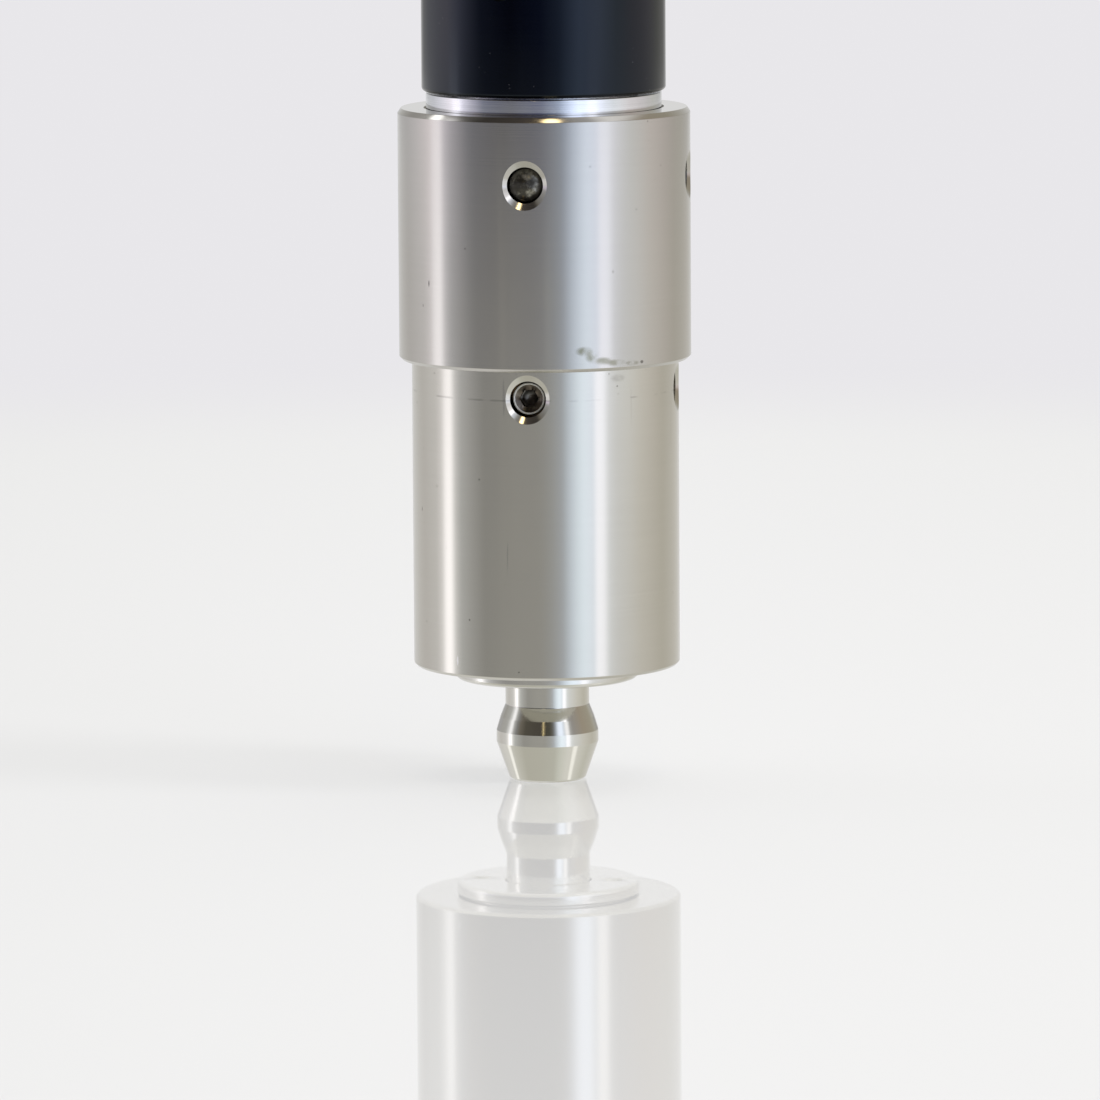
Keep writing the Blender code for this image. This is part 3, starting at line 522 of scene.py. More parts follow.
@dataclass(frozen=True)
class DarkFacedScrew(Finish):
    """A screw that is bright on its rim and dark on its face and in its socket, with painted light on the
    socket's floor.

    Attributes:
        dark_face: the colour of the face and the socket.
        rim: inner and outer radius of the bright rim.
    """

    dark_face: Colour = (0.085, 0.072, 0.06)
    rim: tuple[float, float] = (1.68 * MM, 1.93 * MM)

    def _bright_rim(self, turned: Turned) -> Wire:
        """1 on the bright rim, 0 inside and outside it."""
        inner, outer = self.rim
        return turned.radius.ramp(inner - 0.03 * MM, inner) * turned.radius.ramp(outer, outer - 0.03 * MM)

    def tint(self, turned: Turned, marks: Wire, cloud: Wire) -> Wire:
        """Bright on the rim and dark inside it, with pale patches painted on the bottom of the socket as
        painted light.
        """
        graph = turned.graph
        bright = super().tint(turned, marks, cloud)
        blots = graph.noise(turned.place, 1100.0, 3.0).ramp(0.4, 0.7)
        dark = graph.mix(blots, self.dark_face, tuple(2.2 * c for c in self.dark_face))
        # Painted light: pale patches on the socket's floor, which lies deep in shade.
        floor_light = graph.noise(turned.place, 700.0, 2.0).ramp(0.5, 0.62)
        dark = graph.mix(turned.z.ramp(-1.1 * MM, -1.3 * MM) * floor_light * 0.6, dark, self.shade(0.9))
        return graph.mix(self._bright_rim(turned), dark, bright)

    def gloss(self, turned: Turned, marks: Wire, cloud: Wire) -> Wire:
        """Duller on the bright rim and on the bottom of the socket."""
        dull = self._bright_rim(turned) * 0.35 + turned.z.ramp(-1.1 * MM, -1.3 * MM) * 0.25
        return super().gloss(turned, marks, cloud) + dull


@dataclass(frozen=True)
class Moulded(Finish):
    """Moulded rubber with a fine grain."""

    def relief(self, turned: Turned, marks: Wire) -> Wire:
        """An even grain."""
        return turned.graph.noise(turned.place, 3000.0, 2.0)


# ---------------------------------------------------------------------------- mesh building


def arc(corner: Corner, before: Corner, after: Corner, steps: int) -> list[tuple[float, float]]:
    """The points that round one corner of a section.

    Args:
        corner: radius, height and fillet radius.
        before: the corner it comes from.
        after: the corner it goes to.
        steps: how many chords the arc has.

    Returns:
        Points (radius, height), just the corner itself if its fillet is 0.
    """
    point = Vector(corner[:2])
    if corner[2] <= 0:
        return [tuple(point)]
    inward, outward = (Vector(before[:2]) - point), (Vector(after[:2]) - point)
    angle = inward.angle(outward)
    reach = min(corner[2] / math.tan(angle / 2), 0.49 * inward.length, 0.49 * outward.length)
    radius = reach * math.tan(angle / 2)
    centre = point + (inward.normalized() + outward.normalized()).normalized() * radius / math.sin(angle / 2)
    start = point + inward.normalized() * reach - centre
    end = point + outward.normalized() * reach - centre
    sweep = start.angle_signed(end)
    points = []
    for step in range(steps + 1):
        turn = -sweep * step / steps
        spoke = Vector(
            (
                start.x * math.cos(turn) - start.y * math.sin(turn),
                start.x * math.sin(turn) + start.y * math.cos(turn),
            )
        )
        points.append(tuple(centre + spoke))
    return points


def section(corners: Sequence[Corner], steps: int = 5) -> list[tuple[float, float]]:
    """A turned piece's section with its corners rounded; ends on the axis stay as they are."""
    open_ended = corners[0][0] == 0 and corners[-1][0] == 0
    points: list[tuple[float, float]] = []
    for i, corner in enumerate(corners):
        if open_ended and i in (0, len(corners) - 1):
            points.append(corner[:2])
        else:
            points += arc(corner, corners[i - 1], corners[(i + 1) % len(corners)], steps)
    return points


def lathe(name: str, corners: Sequence[Corner], segments: int = 128, steps: int = 5) -> bpy.types.Object:
    """Turns a section about Z.

    Args:
        name: the object's name.
        corners: (radius, height, fillet) points; the section closes on itself or on the axis.
        segments: facets round the axis.
        steps: chords in each fillet.

    Returns:
        The turned solid.
    """
    points = section(corners, steps)
    bm = bmesh.new()
    rings = []
    for radius, height in points:
        if radius < 1e-9:
            rings.append([bm.verts.new((0, 0, height))])
            continue
        spokes = (math.tau * i / segments for i in range(segments))
        rings.append([bm.verts.new((radius * math.cos(a), radius * math.sin(a), height)) for a in spokes])
    pairs = list(zip(rings, rings[1:]))
    if len(rings[0]) > 1:
        pairs.append((rings[-1], rings[0]))
    for upper, lower in pairs:
        for i in range(segments):
            j = (i + 1) % segments
            quad = [ring[k % len(ring)] for ring, k in ((upper, i), (upper, j), (lower, j), (lower, i))]
            bm.faces.new(list(dict.fromkeys(quad)))
    bmesh.ops.recalc_face_normals(bm, faces=bm.faces)
    made = mesh_object(name, bm)
    weighted = made.modifiers.new("flat_walls", "WEIGHTED_NORMAL")
    weighted.keep_sharp = True
    weighted.weight = 100
    bake(made)
    return made


def mesh_object(name: str, bm: bmesh.types.BMesh) -> bpy.types.Object:
    """Makes an object of a bmesh, shaded smooth with crisp edges."""
    mesh = bpy.data.meshes.new(name)
    bm.to_mesh(mesh)
    bm.free()
    made = bpy.data.objects.new(name, mesh)
    bpy.context.scene.collection.objects.link(made)
    smooth(made)
    return made


def smooth(obj: bpy.types.Object, angle: float = 30.0) -> None:
    """Shades an object smooth but for edges over this angle, in degrees."""
    obj.data.shade_smooth()
    obj.data.set_sharp_from_angle(angle=math.radians(angle))


def prism(name: str, radius: float, low: float, high: float, sides: int) -> bpy.types.Object:
    """A closed prism along Z with its corners at radius."""
    bm = bmesh.new()
    middle = Matrix.Translation((0, 0, (low + high) / 2))
    bmesh.ops.create_cone(
        bm, cap_ends=True, segments=sides, radius1=radius, radius2=radius, depth=high - low, matrix=middle
    )
    return mesh_object(name, bm)


def stadium(name: str, width: float, length: float, low: float, high: float) -> bpy.types.Object:
    """A closed slab with round ends: long along Z, wide along X, from low to high along Y."""
    bm = bmesh.new()
    outline = []
    for end in (1, -1):
        for step in range(13):
            angle = math.pi * (step / 12) + (0 if end > 0 else math.pi)
            x = width / 2 * math.cos(angle)
            outline.append((x, end * (length - width) / 2 + width / 2 * math.sin(angle)))
    face = bm.faces.new([bm.verts.new((x, low, z)) for x, z in outline])
    moved = bmesh.ops.extrude_face_region(bm, geom=[face])["geom"]
    corners = [v for v in moved if isinstance(v, bmesh.types.BMVert)]
    bmesh.ops.translate(bm, vec=(0, high - low, 0), verts=corners)
    bmesh.ops.recalc_face_normals(bm, faces=bm.faces)
    return mesh_object(name, bm)


def outwards(obj: bpy.types.Object, azimuth: float, height: float, radius: float = 0.0) -> bpy.types.Object:
    """Points an object's +Z away from the axis at this azimuth in degrees."""
    angle = math.radians(azimuth)
    direction = Vector((math.cos(angle), math.sin(angle), 0))
    obj.rotation_euler = direction.to_track_quat("Z", "Y").to_euler()
    obj.location = direction * radius + Vector((0, 0, height))
    return obj


def standing(obj: bpy.types.Object) -> Matrix:
    """Where an object stands."""
    return Matrix.LocRotScale(obj.location, obj.rotation_euler, obj.scale)


def bake(obj: bpy.types.Object) -> None:
    """Turns an object's modifiers into its mesh."""
    bpy.context.view_layer.update()
    evaluated = obj.evaluated_get(bpy.context.evaluated_depsgraph_get())
    mesh = bpy.data.meshes.new_from_object(evaluated)
    obj.modifiers.clear()
    obj.data = mesh


def carve(obj: bpy.types.Object, cutters: Iterable[bpy.types.Object]) -> bpy.types.Object:
    """Takes the cutters away from an object and discards them."""
    tools = list(cutters)
    for tool in tools:
        boolean = obj.modifiers.new(tool.name, "BOOLEAN")
        boolean.operation = "DIFFERENCE"
        boolean.solver = "EXACT"
        boolean.object = tool
    bake(obj)
    for tool in tools:
        bpy.data.objects.remove(tool)
    smooth(obj)
    return obj


@dataclass(frozen=True)
class Sink:
    """A countersunk hole in a wall.

    Attributes:
        radius: the hole's radius.
        mouth: the countersink's radius at the wall.
        slope: how deep the countersink goes for each step inwards.
    """

    radius: float
    mouth: float
    slope: float = 1.0

    def cutter(self, depth: float, rise: float = 1.5 * MM) -> bpy.types.Object:
        """A cutter along +Z, its origin on the wall, that goes this deep and stands up this far."""
        corners = [
            (0, rise, 0),
            (self.mouth + rise / self.slope, rise, 0),
            (self.radius, (self.radius - self.mouth) * self.slope, 0),
            (self.radius, -depth, 0),
            (0, -depth, 0),
        ]
        return lathe("countersink", corners, 64)

    def normal(self, tool: Matrix, point: Vector, face: Vector) -> Vector | None:
        """The true normal at a point of the hole.

        Args:
            tool: where the cutter stood.
            point: the point.
            face: the normal of the flat face it belongs to.

        Returns:
            The normal, or None where the face isn't part of the hole.
        """
        axis = (tool.to_3x3() @ Vector((0, 0, 1))).normalized()
        away = point - tool.translation
        away -= axis * away.dot(axis)
        if not self.radius * 0.97 < away.length < self.mouth * 1.05:
            return None
        lean = 1 / math.hypot(1, self.slope)
        for along in (lean, 0.0):
            true = axis * along - away.normalized() * math.sqrt(1 - along * along)
            if true.dot(face) > 0.99:
                return true
        return None


def true_walls(
    obj: bpy.types.Object, radii: Sequence[float], sink: Sink | None = None, tools: Sequence[Matrix] = ()
) -> None:
    """Gives a carved turned piece the normals of true cylinders and cones.

    Args:
        obj: the piece.
        radii: the radii of its walls about Z.
        sink: the holes in its wall.
        tools: where the holes' cutters stood.
    """
    mesh = obj.data
    normals = [Vector((0, 0, 0))] * len(mesh.loops)
    for face in mesh.polygons:
        points = [mesh.vertices[v].co for v in face.vertices]
        upright = abs(face.normal.z) < 0.02 and any(
            all(abs(math.hypot(p.x, p.y) - r) < 0.004 * MM for p in points) for r in radii
        )
        for loop, point in zip(face.loop_indices, points):
            if upright:
                radial = Vector((point.x, point.y, 0)).normalized()
                normals[loop] = radial if radial.dot(face.normal) > 0 else -radial
            elif sink is not None:
                found = (sink.normal(tool, point, face.normal) for tool in tools)
                normals[loop] = next((n for n in found if n is not None), normals[loop])
    mesh.normals_split_custom_set(normals)


SCREW_SINK = Sink(2.15 * MM, 2.93 * MM, 0.7)


# --------------------------------------------------------------------------- sub-assemblies


@dataclass(frozen=True)
class Extent:
    """A node's place in the frame."""

    low: float
    high: float
    radius: float

    @classmethod
    def of(cls, node: str) -> "Extent":
        """Reads a turned node's height range and radius from the frame."""
        low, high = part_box(node)
        return cls(low.z, high.z, high.x)


@dataclass
class SubAssembly:
    """Shared ways to add a finished piece to the head."""

    placed: list[bpy.types.Object] = field(default_factory=list, init=False)

    def place(
        self, obj: bpy.types.Object, body: Body, finish: Finish, slot: Slot, replaces: Sequence[str] = ()
    ) -> bpy.types.Object:
        """Dresses a piece and hangs it on its body.

        Args:
            obj: the piece, in place.
            body: the body it moves with.
            finish: its surface.
            slot: the record's slot that the surface belongs to; not used.
            replaces: the frame's nodes it stands for.

        Returns:
            The piece.
        """
        obj.data.materials.clear()
        obj.data.materials.append(finish.material())
        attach(obj, body.value)
        if replaces:
            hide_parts(*replaces)
        self.placed.append(obj)
        return obj

    def report(self) -> None:
        """Logs each piece."""
        for obj in self.placed:
            LOG.info("%s: %s, %d faces", type(self).__name__, obj.name, len(obj.data.polygons))


HOLDER_STEEL = WornSteel(
    "holder_steel",
    (0.60, 0.585, 0.545),
    0.13,
    unevenness=0.025,
    tarnish=0.02,
    line_height=47.45 * MM,
    marks=(
        Mark(-124, 16.0 * MM, 16.0 * MM, (0.14 * MM, 0.7 * MM), (0.85, 0.85, 0.85), 0.7),
        Mark(-150, 16.0 * MM, 33.5 * MM, (0.15 * MM, 0.4 * MM), (0.15, 0.14, 0.12), 0.6),
        Mark(-50, 16.0 * MM, 49.9 * MM, (1.3 * MM, 0.6 * MM), (0.40, 0.385, 0.34), 0.5, 500.0, 0.3),
        Mark(15, 16.0 * MM, 24.0 * MM, (0.2 * MM, 0.3 * MM), (0.15, 0.14, 0.12), 0.7),
    ),
)
COLLAR_STEEL = WornSteel(
    "collar_steel",
    (0.545, 0.53, 0.505),
    0.14,
    unevenness=0.025,
    tarnish=0.02,
    faced=81.03 * MM,
    marks=(
        Mark(-67.0, 17.5 * MM, 53.45 * MM, (1.3 * MM, 0.7 * MM), (0.31, 0.31, 0.235), 0.95, 420.0, 0.34),
        Mark(-63.6, 17.5 * MM, 52.8 * MM, (1.2 * MM, 0.9 * MM), (0.30, 0.30, 0.225), 0.95, 500.0, 0.34),
        Mark(-59.5, 17.5 * MM, 52.2 * MM, (1.5 * MM, 0.6 * MM), (0.36, 0.35, 0.28), 0.85, 520.0, 0.36),
        Mark(-54.0, 17.5 * MM, 51.95 * MM, (1.7 * MM, 0.5 * MM), (0.34, 0.33, 0.26), 0.85, 560.0, 0.36),
        Mark(-46.5, 17.5 * MM, 51.75 * MM, (1.3 * MM, 0.38 * MM), (0.33, 0.32, 0.26), 0.85, 700.0, 0.3),
        Mark(-41.5, 17.5 * MM, 51.8 * MM, (0.32 * MM, 0.25 * MM), (0.16, 0.15, 0.14), 0.75),
        Mark(-134, 17.5 * MM, 61.0 * MM, (0.13 * MM, 0.5 * MM), (0.10, 0.095, 0.09), 0.9),
        Mark(-138, 17.5 * MM, 58.3 * MM, (0.1 * MM, 0.25 * MM), (0.14, 0.13, 0.12), 0.8),
        Mark(120, 17.5 * MM, 63.0 * MM, (0.2 * MM, 0.8 * MM), (0.14, 0.13, 0.12), 0.7),
    ),
)
RING_STEEL = WornSteel("ring_steel", (0.70, 0.69, 0.66), 0.16, unevenness=0.03, tarnish=0.03)
TIP_STEEL = Finish("tip_steel", (0.68, 0.67, 0.63), 0.1, mark_depth=0.0000006, unevenness=0.02, tarnish=0.02)
SCREW_STEEL = DarkFacedScrew("screw_steel", (0.92, 0.91, 0.87), 0.22, marks_per_metre=9000.0)
BRIGHT_ALUMINIUM = Finish("bright_aluminium", (0.76, 0.775, 0.81), 0.11, mark_depth=0.0000005, tarnish=0.1)
BLACK_ANODISED = Anodised(
    "black_anodised",
    (0.0004, 0.0006, 0.002),
    0.08,
    0.0,
    mark_depth=0.00000003,
    unevenness=0.03,
    ior=1.44,
    cast=(0.66, 0.80, 1.0),
)
# Pale patches painted as highlights on a dark dome, with a painted shade round its edge.
SEALED_SCREW = Mottled(
    "sealed_screw",
    (0.085, 0.08, 0.07),
    0.33,
    0.9,
    mark_depth=0.00002,
    pale=(0.52, 0.50, 0.44),
    cover=0.75,
    scale=800.0,
    painted_shade_radius=2.0 * MM,
)
BLACK_OXIDE = Mottled("black_oxide", (0.04, 0.038, 0.036), 0.35, 0.8, mark_depth=0.000005, cover=0.25)
GROUND_STEEL = Finish("ground_steel", (0.66, 0.66, 0.68), 0.12, mark_depth=0.0000006)
SPRING_WIRE = Finish("spring_wire", (0.45, 0.45, 0.46), 0.25, marks_per_metre=2500.0)
BRASS = Finish("brass", (0.72, 0.52, 0.22), 0.28)
BRONZE = Finish("bronze", (0.55, 0.36, 0.18), 0.30)
RUBBER = Moulded("nitrile_rubber", (0.02, 0.02, 0.021), 0.6, 0.0, mark_depth=0.000015)

QUARTERS = (-90, 0, 90, 180)


@dataclass
class SocketScrew:
    """A socket set screw, its origin at the middle of its outer end and +Z out of the hole.

    Attributes:
        radius: of the thread.
        flats: the hexagon's width across flats.
        depth: of the hexagon.
        chamfer: round the outer end.
    """

    radius: float = 2.0 * MM
    flats: float = 2.0 * MM
    depth: float = 1.35 * MM
    chamfer: float = 0.25 * MM

    def point(self, length: float, dog: tuple[float, float] | None) -> list[Corner]:
        """The inner end's corners: a plain end, or a dog point of (radius, length)."""
        if dog is None:
            edge = 0.3 * MM
            return [(self.radius, edge - length, 0), (self.radius - edge, -length, 0), (0, -length, 0)]
        shoulder = dog[1] - length
        return [
            (self.radius, shoulder + 0.3 * MM, 0),
            (self.radius - 0.3 * MM, shoulder, 0),
            (dog[0], shoulder, 0),
            (dog[0], -length, 0.15 * MM),
            (0, -length, 0),
        ]

    def build(self, name: str, length: float, dog: tuple[float, float] | None = None) -> bpy.types.Object:
        """Makes the screw with its hexagon socket."""
        rim = self.radius - self.chamfer
        head: list[Corner] = [
            (0, -0.4 * self.chamfer, 0),
            (rim - 0.4 * self.chamfer, -0.4 * self.chamfer, 0),
            (rim - 0.1 * self.chamfer, 0, 0.05 * MM),
            (rim + 0.4 * self.chamfer, 0, 0.08 * MM),
            (self.radius, -1.2 * self.chamfer, 0.05 * MM),
        ]
        screw = lathe(name, head + self.point(length, dog), 48, 3)
        corner = self.flats / math.sqrt(3)
        hexagon = prism("hexagon", corner, -self.depth, MM, 6)
        hexagon.rotation_euler.z = math.pi / 6
        dip = 0.2 * MM
        lead = lathe("lead", [(0, MM, 0), (corner + MM, MM, 0), (corner - dip, -dip, 0), (0, -dip, 0)], 48)
        drill = self.flats * 0.47
        floor = -self.depth - 0.15 * MM
        bottom: list[Corner] = [
            (0, MM - self.depth, 0),
            (drill, MM - self.depth, 0),
            (drill, floor, 0),
            (0, floor - drill / 2, 0),
        ]
        return carve(screw, [hexagon, lead, lathe("drill", bottom, 32)])

    def sealed(self, name: str, length: float, crown: float = 0.75 * MM) -> bpy.types.Object:
        """Makes the screw with its socket and end filled by a lumpy crown of compound."""
        reach = self.radius
        head: list[Corner] = [(reach * i / 14, crown * (1 - (i / 14) ** 2), 0) for i in range(14)]
        head += [(reach, 0, 0), (reach, -0.25 * MM, 0), (self.radius, -0.35 * MM, 0)]
        screw = lathe(name, head + self.point(length, None), 48, 3)
        for vertex in screw.data.vertices:
            if vertex.co.z > 0.01 * MM:
                shift = Vector((0, 0, len(name) + ord(name[-1])))
                seed = Vector((vertex.co.x, vertex.co.y, 0)) * 1400 + shift
                vertex.co.z += 0.09 * MM * noise.noise(seed) - 0.03 * MM
        smooth(screw, 50)
        return screw


@dataclass
class BearingHousing(SubAssembly):
    """The two-part black housing, its top cap and the cap's lock screws.

    Attributes:
        bore: radius round the bearings.
        thread: radius of the threaded spigots.
        lap: length of the thread between the two parts.
        fit: radial clearance between parts.
        seat: axial clearance between parts.
        seam: round edge at each seam.
        rim: round edge at the lower end.
        flat: depth, height and rise above the seam of the spanner flats.
        holes: radius, depth and circle radius of the machine face's holes.
        azimuths: where those holes lie.
        locks: each lock screw's number and azimuth.
    """

    bore: float = 11.15 * MM
    thread: float = 12.9 * MM
    lap: float = 6.0 * MM
    fit: float = 0.15 * MM
    seat: float = 0.2 * MM
    seam: float = 0.3 * MM
    rim: float = 0.5 * MM
    flat: tuple[float, float, float] = (1.0 * MM, 10.0 * MM, 5.0 * MM)
    holes: tuple[float, float, float] = (1.25 * MM, 4.5 * MM, 11.4 * MM)
    azimuths: tuple[float, ...] = (30, 150, 270)
    locks: tuple[tuple[int, float], ...] = ((1, 90), (2, 270), (3, -103))

    def build(self) -> None:
        """Makes the housing from its lower end up."""
        self._lower_cap()
        self._upper_body()
        self._top_cap()
        self._lock_screws()

    def _black(self, obj: bpy.types.Object, node: str) -> None:
        """Places a black anodised piece."""
        self.place(obj, Body.HOUSING, BLACK_ANODISED, Slot.BLACK, [node])

    def _lock_hole(self, number: int, azimuth: float) -> bpy.types.Object:
        """The cutter for a lock screw's hole."""
        low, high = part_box(f"cap_lock_screw_{number}")
        hole = Sink(1.65 * MM, 1.85 * MM).cutter(3 * MM)
        return outwards(hole, azimuth, (low.z + high.z) / 2, Extent.of("lower_bearing_cap").radius)

    def _lower_cap(self) -> None:
        """The cap round the lower bearing, which screws over the body."""
        cap = Extent.of("lower_bearing_cap")
        floor = cap.high - self.lap
        outer = self.thread + self.fit
        corners = [
            (cap.radius, cap.high, self.seam),
            (cap.radius, cap.low, self.rim),
            (self.bore, cap.low, 0.2 * MM),
            (self.bore, floor, 0.1 * MM),
            (outer, floor, 0),
            (outer, cap.high, 0.1 * MM),
        ]
        lower = carve(lathe("lower_cap", corners, 160), [self._lock_hole(n, a) for n, a in self.locks[2:]])
        true_walls(lower, [cap.radius, self.bore, outer])
        self._black(lower, "lower_bearing_cap")

    def _upper_body(self) -> None:
        """The body between the bearings, with its spanner flats."""
        body = Extent.of("spindle_housing")
        base = Extent.of("lower_bearing_cap").high + self.seat
        shelf = Extent.of("top_cap").low - self.seat
        outer = self.thread + self.fit
        corners = [
            (body.radius, body.high, self.seam),
            (body.radius, base, self.seam),
            (self.thread, base, 0),
            (self.thread, body.low, 0.3 * MM),
            (self.bore, body.low, 0.1 * MM),
            (self.bore, shelf, 0.1 * MM),
            (outer, shelf, 0),
            (outer, body.high, 0.1 * MM),
        ]
        depth, height, rise = self.flat
        cutters = [self._lock_hole(n, a) for n, a in self.locks[:2]]
        for side in (-1, 1):
            bm = bmesh.new()
            middle = Matrix.Translation((side * body.radius, 0, base + rise + height / 2))
            size = Matrix.Diagonal((2 * depth, 30 * MM, height, 1))
            bmesh.ops.create_cube(bm, size=1.0, matrix=middle @ size)
            cutters.append(mesh_object("flat", bm))
        housing = carve(lathe("housing_body", corners, 160), cutters)
        true_walls(housing, [body.radius, self.bore, outer, self.thread])
        self._black(housing, "spindle_housing")

    def _top_cap(self) -> None:
        """The cap with the flat machine face and its tapped holes."""
        cap = Extent.of("top_cap")
        shoulder = Extent.of("spindle_housing").high + self.seat
        seal = Extent.of("upper_shaft_seal")
        nut = Extent.of("spindle_lock_nut")
        space = nut.radius + 4 * self.fit
        corners = [
            (cap.radius, cap.high, 0.8 * MM),
            (cap.radius, shoulder, self.seam),
            (self.thread, shoulder, 0),
            (self.thread, cap.low, 0.3 * MM),
            (space, cap.low, 0.2 * MM),
            (space, nut.high + 2 * self.seat, 0.1 * MM),
            (seal.radius + self.fit, nut.high + 2 * self.seat, 0),
            (seal.radius + self.fit, seal.high + self.seat, 0),
            (5.45 * MM, seal.high + self.seat, 0),
            (5.45 * MM, cap.high, 0.3 * MM),
        ]
        radius, depth, circle = self.holes
        cutters = []
        for azimuth in self.azimuths:
            cutter = Sink(radius, radius + 0.35 * MM).cutter(depth)
            angle = math.radians(azimuth)
            cutter.location = (circle * math.cos(angle), circle * math.sin(angle), cap.high)
            cutters.append(cutter)
        top = carve(lathe("machine_cap", corners, 160), cutters)
        true_walls(top, [cap.radius, self.thread, space])
        self._black(top, "top_cap")

    def _lock_screws(self) -> None:
        """The small screws that lock the two threads."""
        cap = Extent.of("lower_bearing_cap")
        length = cap.radius - self.thread - 2 * self.seat
        for number, azimuth in self.locks:
            low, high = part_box(f"cap_lock_screw_{number}")
            screw = SocketScrew(1.5 * MM, 1.5 * MM, 0.6 * MM, 0.2 * MM).build(f"lock_screw_{number}", length)
            outwards(screw, azimuth, (low.z + high.z) / 2, cap.radius - self.seat)
            self.place(screw, Body.HOUSING, BLACK_OXIDE, Slot.BLACKENED, [f"cap_lock_screw_{number}"])


@dataclass
class BearingRetainer(SubAssembly):
    """The bright threaded ring under the lower bearing.

    Attributes:
        spigot: radius of its thread.
        seat: axial clearance between parts.
        drop: how far its foot reaches down into the collar's recess.
    """

    spigot: float = 11.0 * MM
    seat: float = 0.2 * MM
    drop: float = 0.32 * MM

    def build(self) -> None:
        """Makes the ring, its foot in the collar's recess."""
        ring = Extent.of("bearing_retainer")
        shoulder = Extent.of("lower_bearing_cap").low - self.seat
        seal = Extent.of("lower_shaft_seal")
        corners = [
            (self.spigot, ring.high, 0.2 * MM),
            (self.spigot, shoulder, 0),
            (ring.radius, shoulder, 0.1 * MM),
            (ring.radius, ring.low - self.drop, 0.04 * MM),
            (6.3 * MM, ring.low - self.drop, 0.1 * MM),
            (6.3 * MM, seal.low - self.seat, 0),
            (seal.radius + 0.15 * MM, seal.low - self.seat, 0),
            (seal.radius + 0.15 * MM, ring.high, 0.2 * MM),
        ]
        neck = lathe("neck_ring", corners)
        self.place(neck, Body.HOUSING, BRIGHT_ALUMINIUM, Slot.ALUMINIUM, ["bearing_retainer"])


@dataclass
class ClampCollar(SubAssembly):
    """The steel collar on the spindle and its four sealed set screws.

    Attributes:
        skirt: radius of the skirt's bore.
        bore: radius of the bore on the spindle.
        web: how far the web lies above the tool holder's rim.
        sink: the screws' holes.
        recess: radius and depth of the recess round the neck ring.
        edge: width and height of the steep chamfer round the top.
    """

    skirt: float = 16.15 * MM
    bore: float = 6.15 * MM
    web: float = 6.2 * MM
    sink: Sink = SCREW_SINK
    recess: tuple[float, float] = (14.35 * MM, 0.35 * MM)
    edge: tuple[float, float] = (0.4 * MM, 0.6 * MM)

    def build(self) -> None:
        """Makes the collar, then its screws."""
        collar = Extent.of("upper_collar")
        web = Extent.of("tool_holder").high + self.web
        low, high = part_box("collar_set_screw_1")
        height = (low.z + high.z) / 2
        corners = [
            (collar.radius - self.edge[0], collar.high, 0.07 * MM),
            (collar.radius, collar.high - self.edge[1], 0.07 * MM),
            (collar.radius, collar.low + 0.4 * MM, 0.08 * MM),
            (collar.radius - 0.4 * MM, collar.low, 0.08 * MM),
            (self.skirt, collar.low, 0.2 * MM),
            (self.skirt, web, 0.3 * MM),
            (self.bore, web, 0.2 * MM),
            (self.bore, collar.high - self.recess[1], 0.3 * MM),
            (self.recess[0], collar.high - self.recess[1], 0),
            (self.recess[0], collar.high, 0.03 * MM),
        ]
        depth = collar.radius - self.bore + 2 * MM
        cutters = [outwards(self.sink.cutter(depth), a, height, collar.radius) for a in QUARTERS]
        stood = [standing(cutter) for cutter in cutters]
        sleeve = carve(lathe("clamp_collar", corners, 160), cutters)
        true_walls(sleeve, [collar.radius, self.skirt, self.bore, self.recess[0]], self.sink, stood)
        self.place(sleeve, Body.SPINDLE, COLLAR_STEEL, Slot.STAINLESS, ["upper_collar"])
        for number, azimuth in enumerate(QUARTERS, 1):
            screw = SocketScrew().sealed(f"sealed_screw_{number}", high.y - low.y)
            outwards(screw, azimuth, height, -low.y)
            self.place(screw, Body.SPINDLE, SEALED_SCREW, Slot.BLACKENED, [f"collar_set_screw_{number}"])


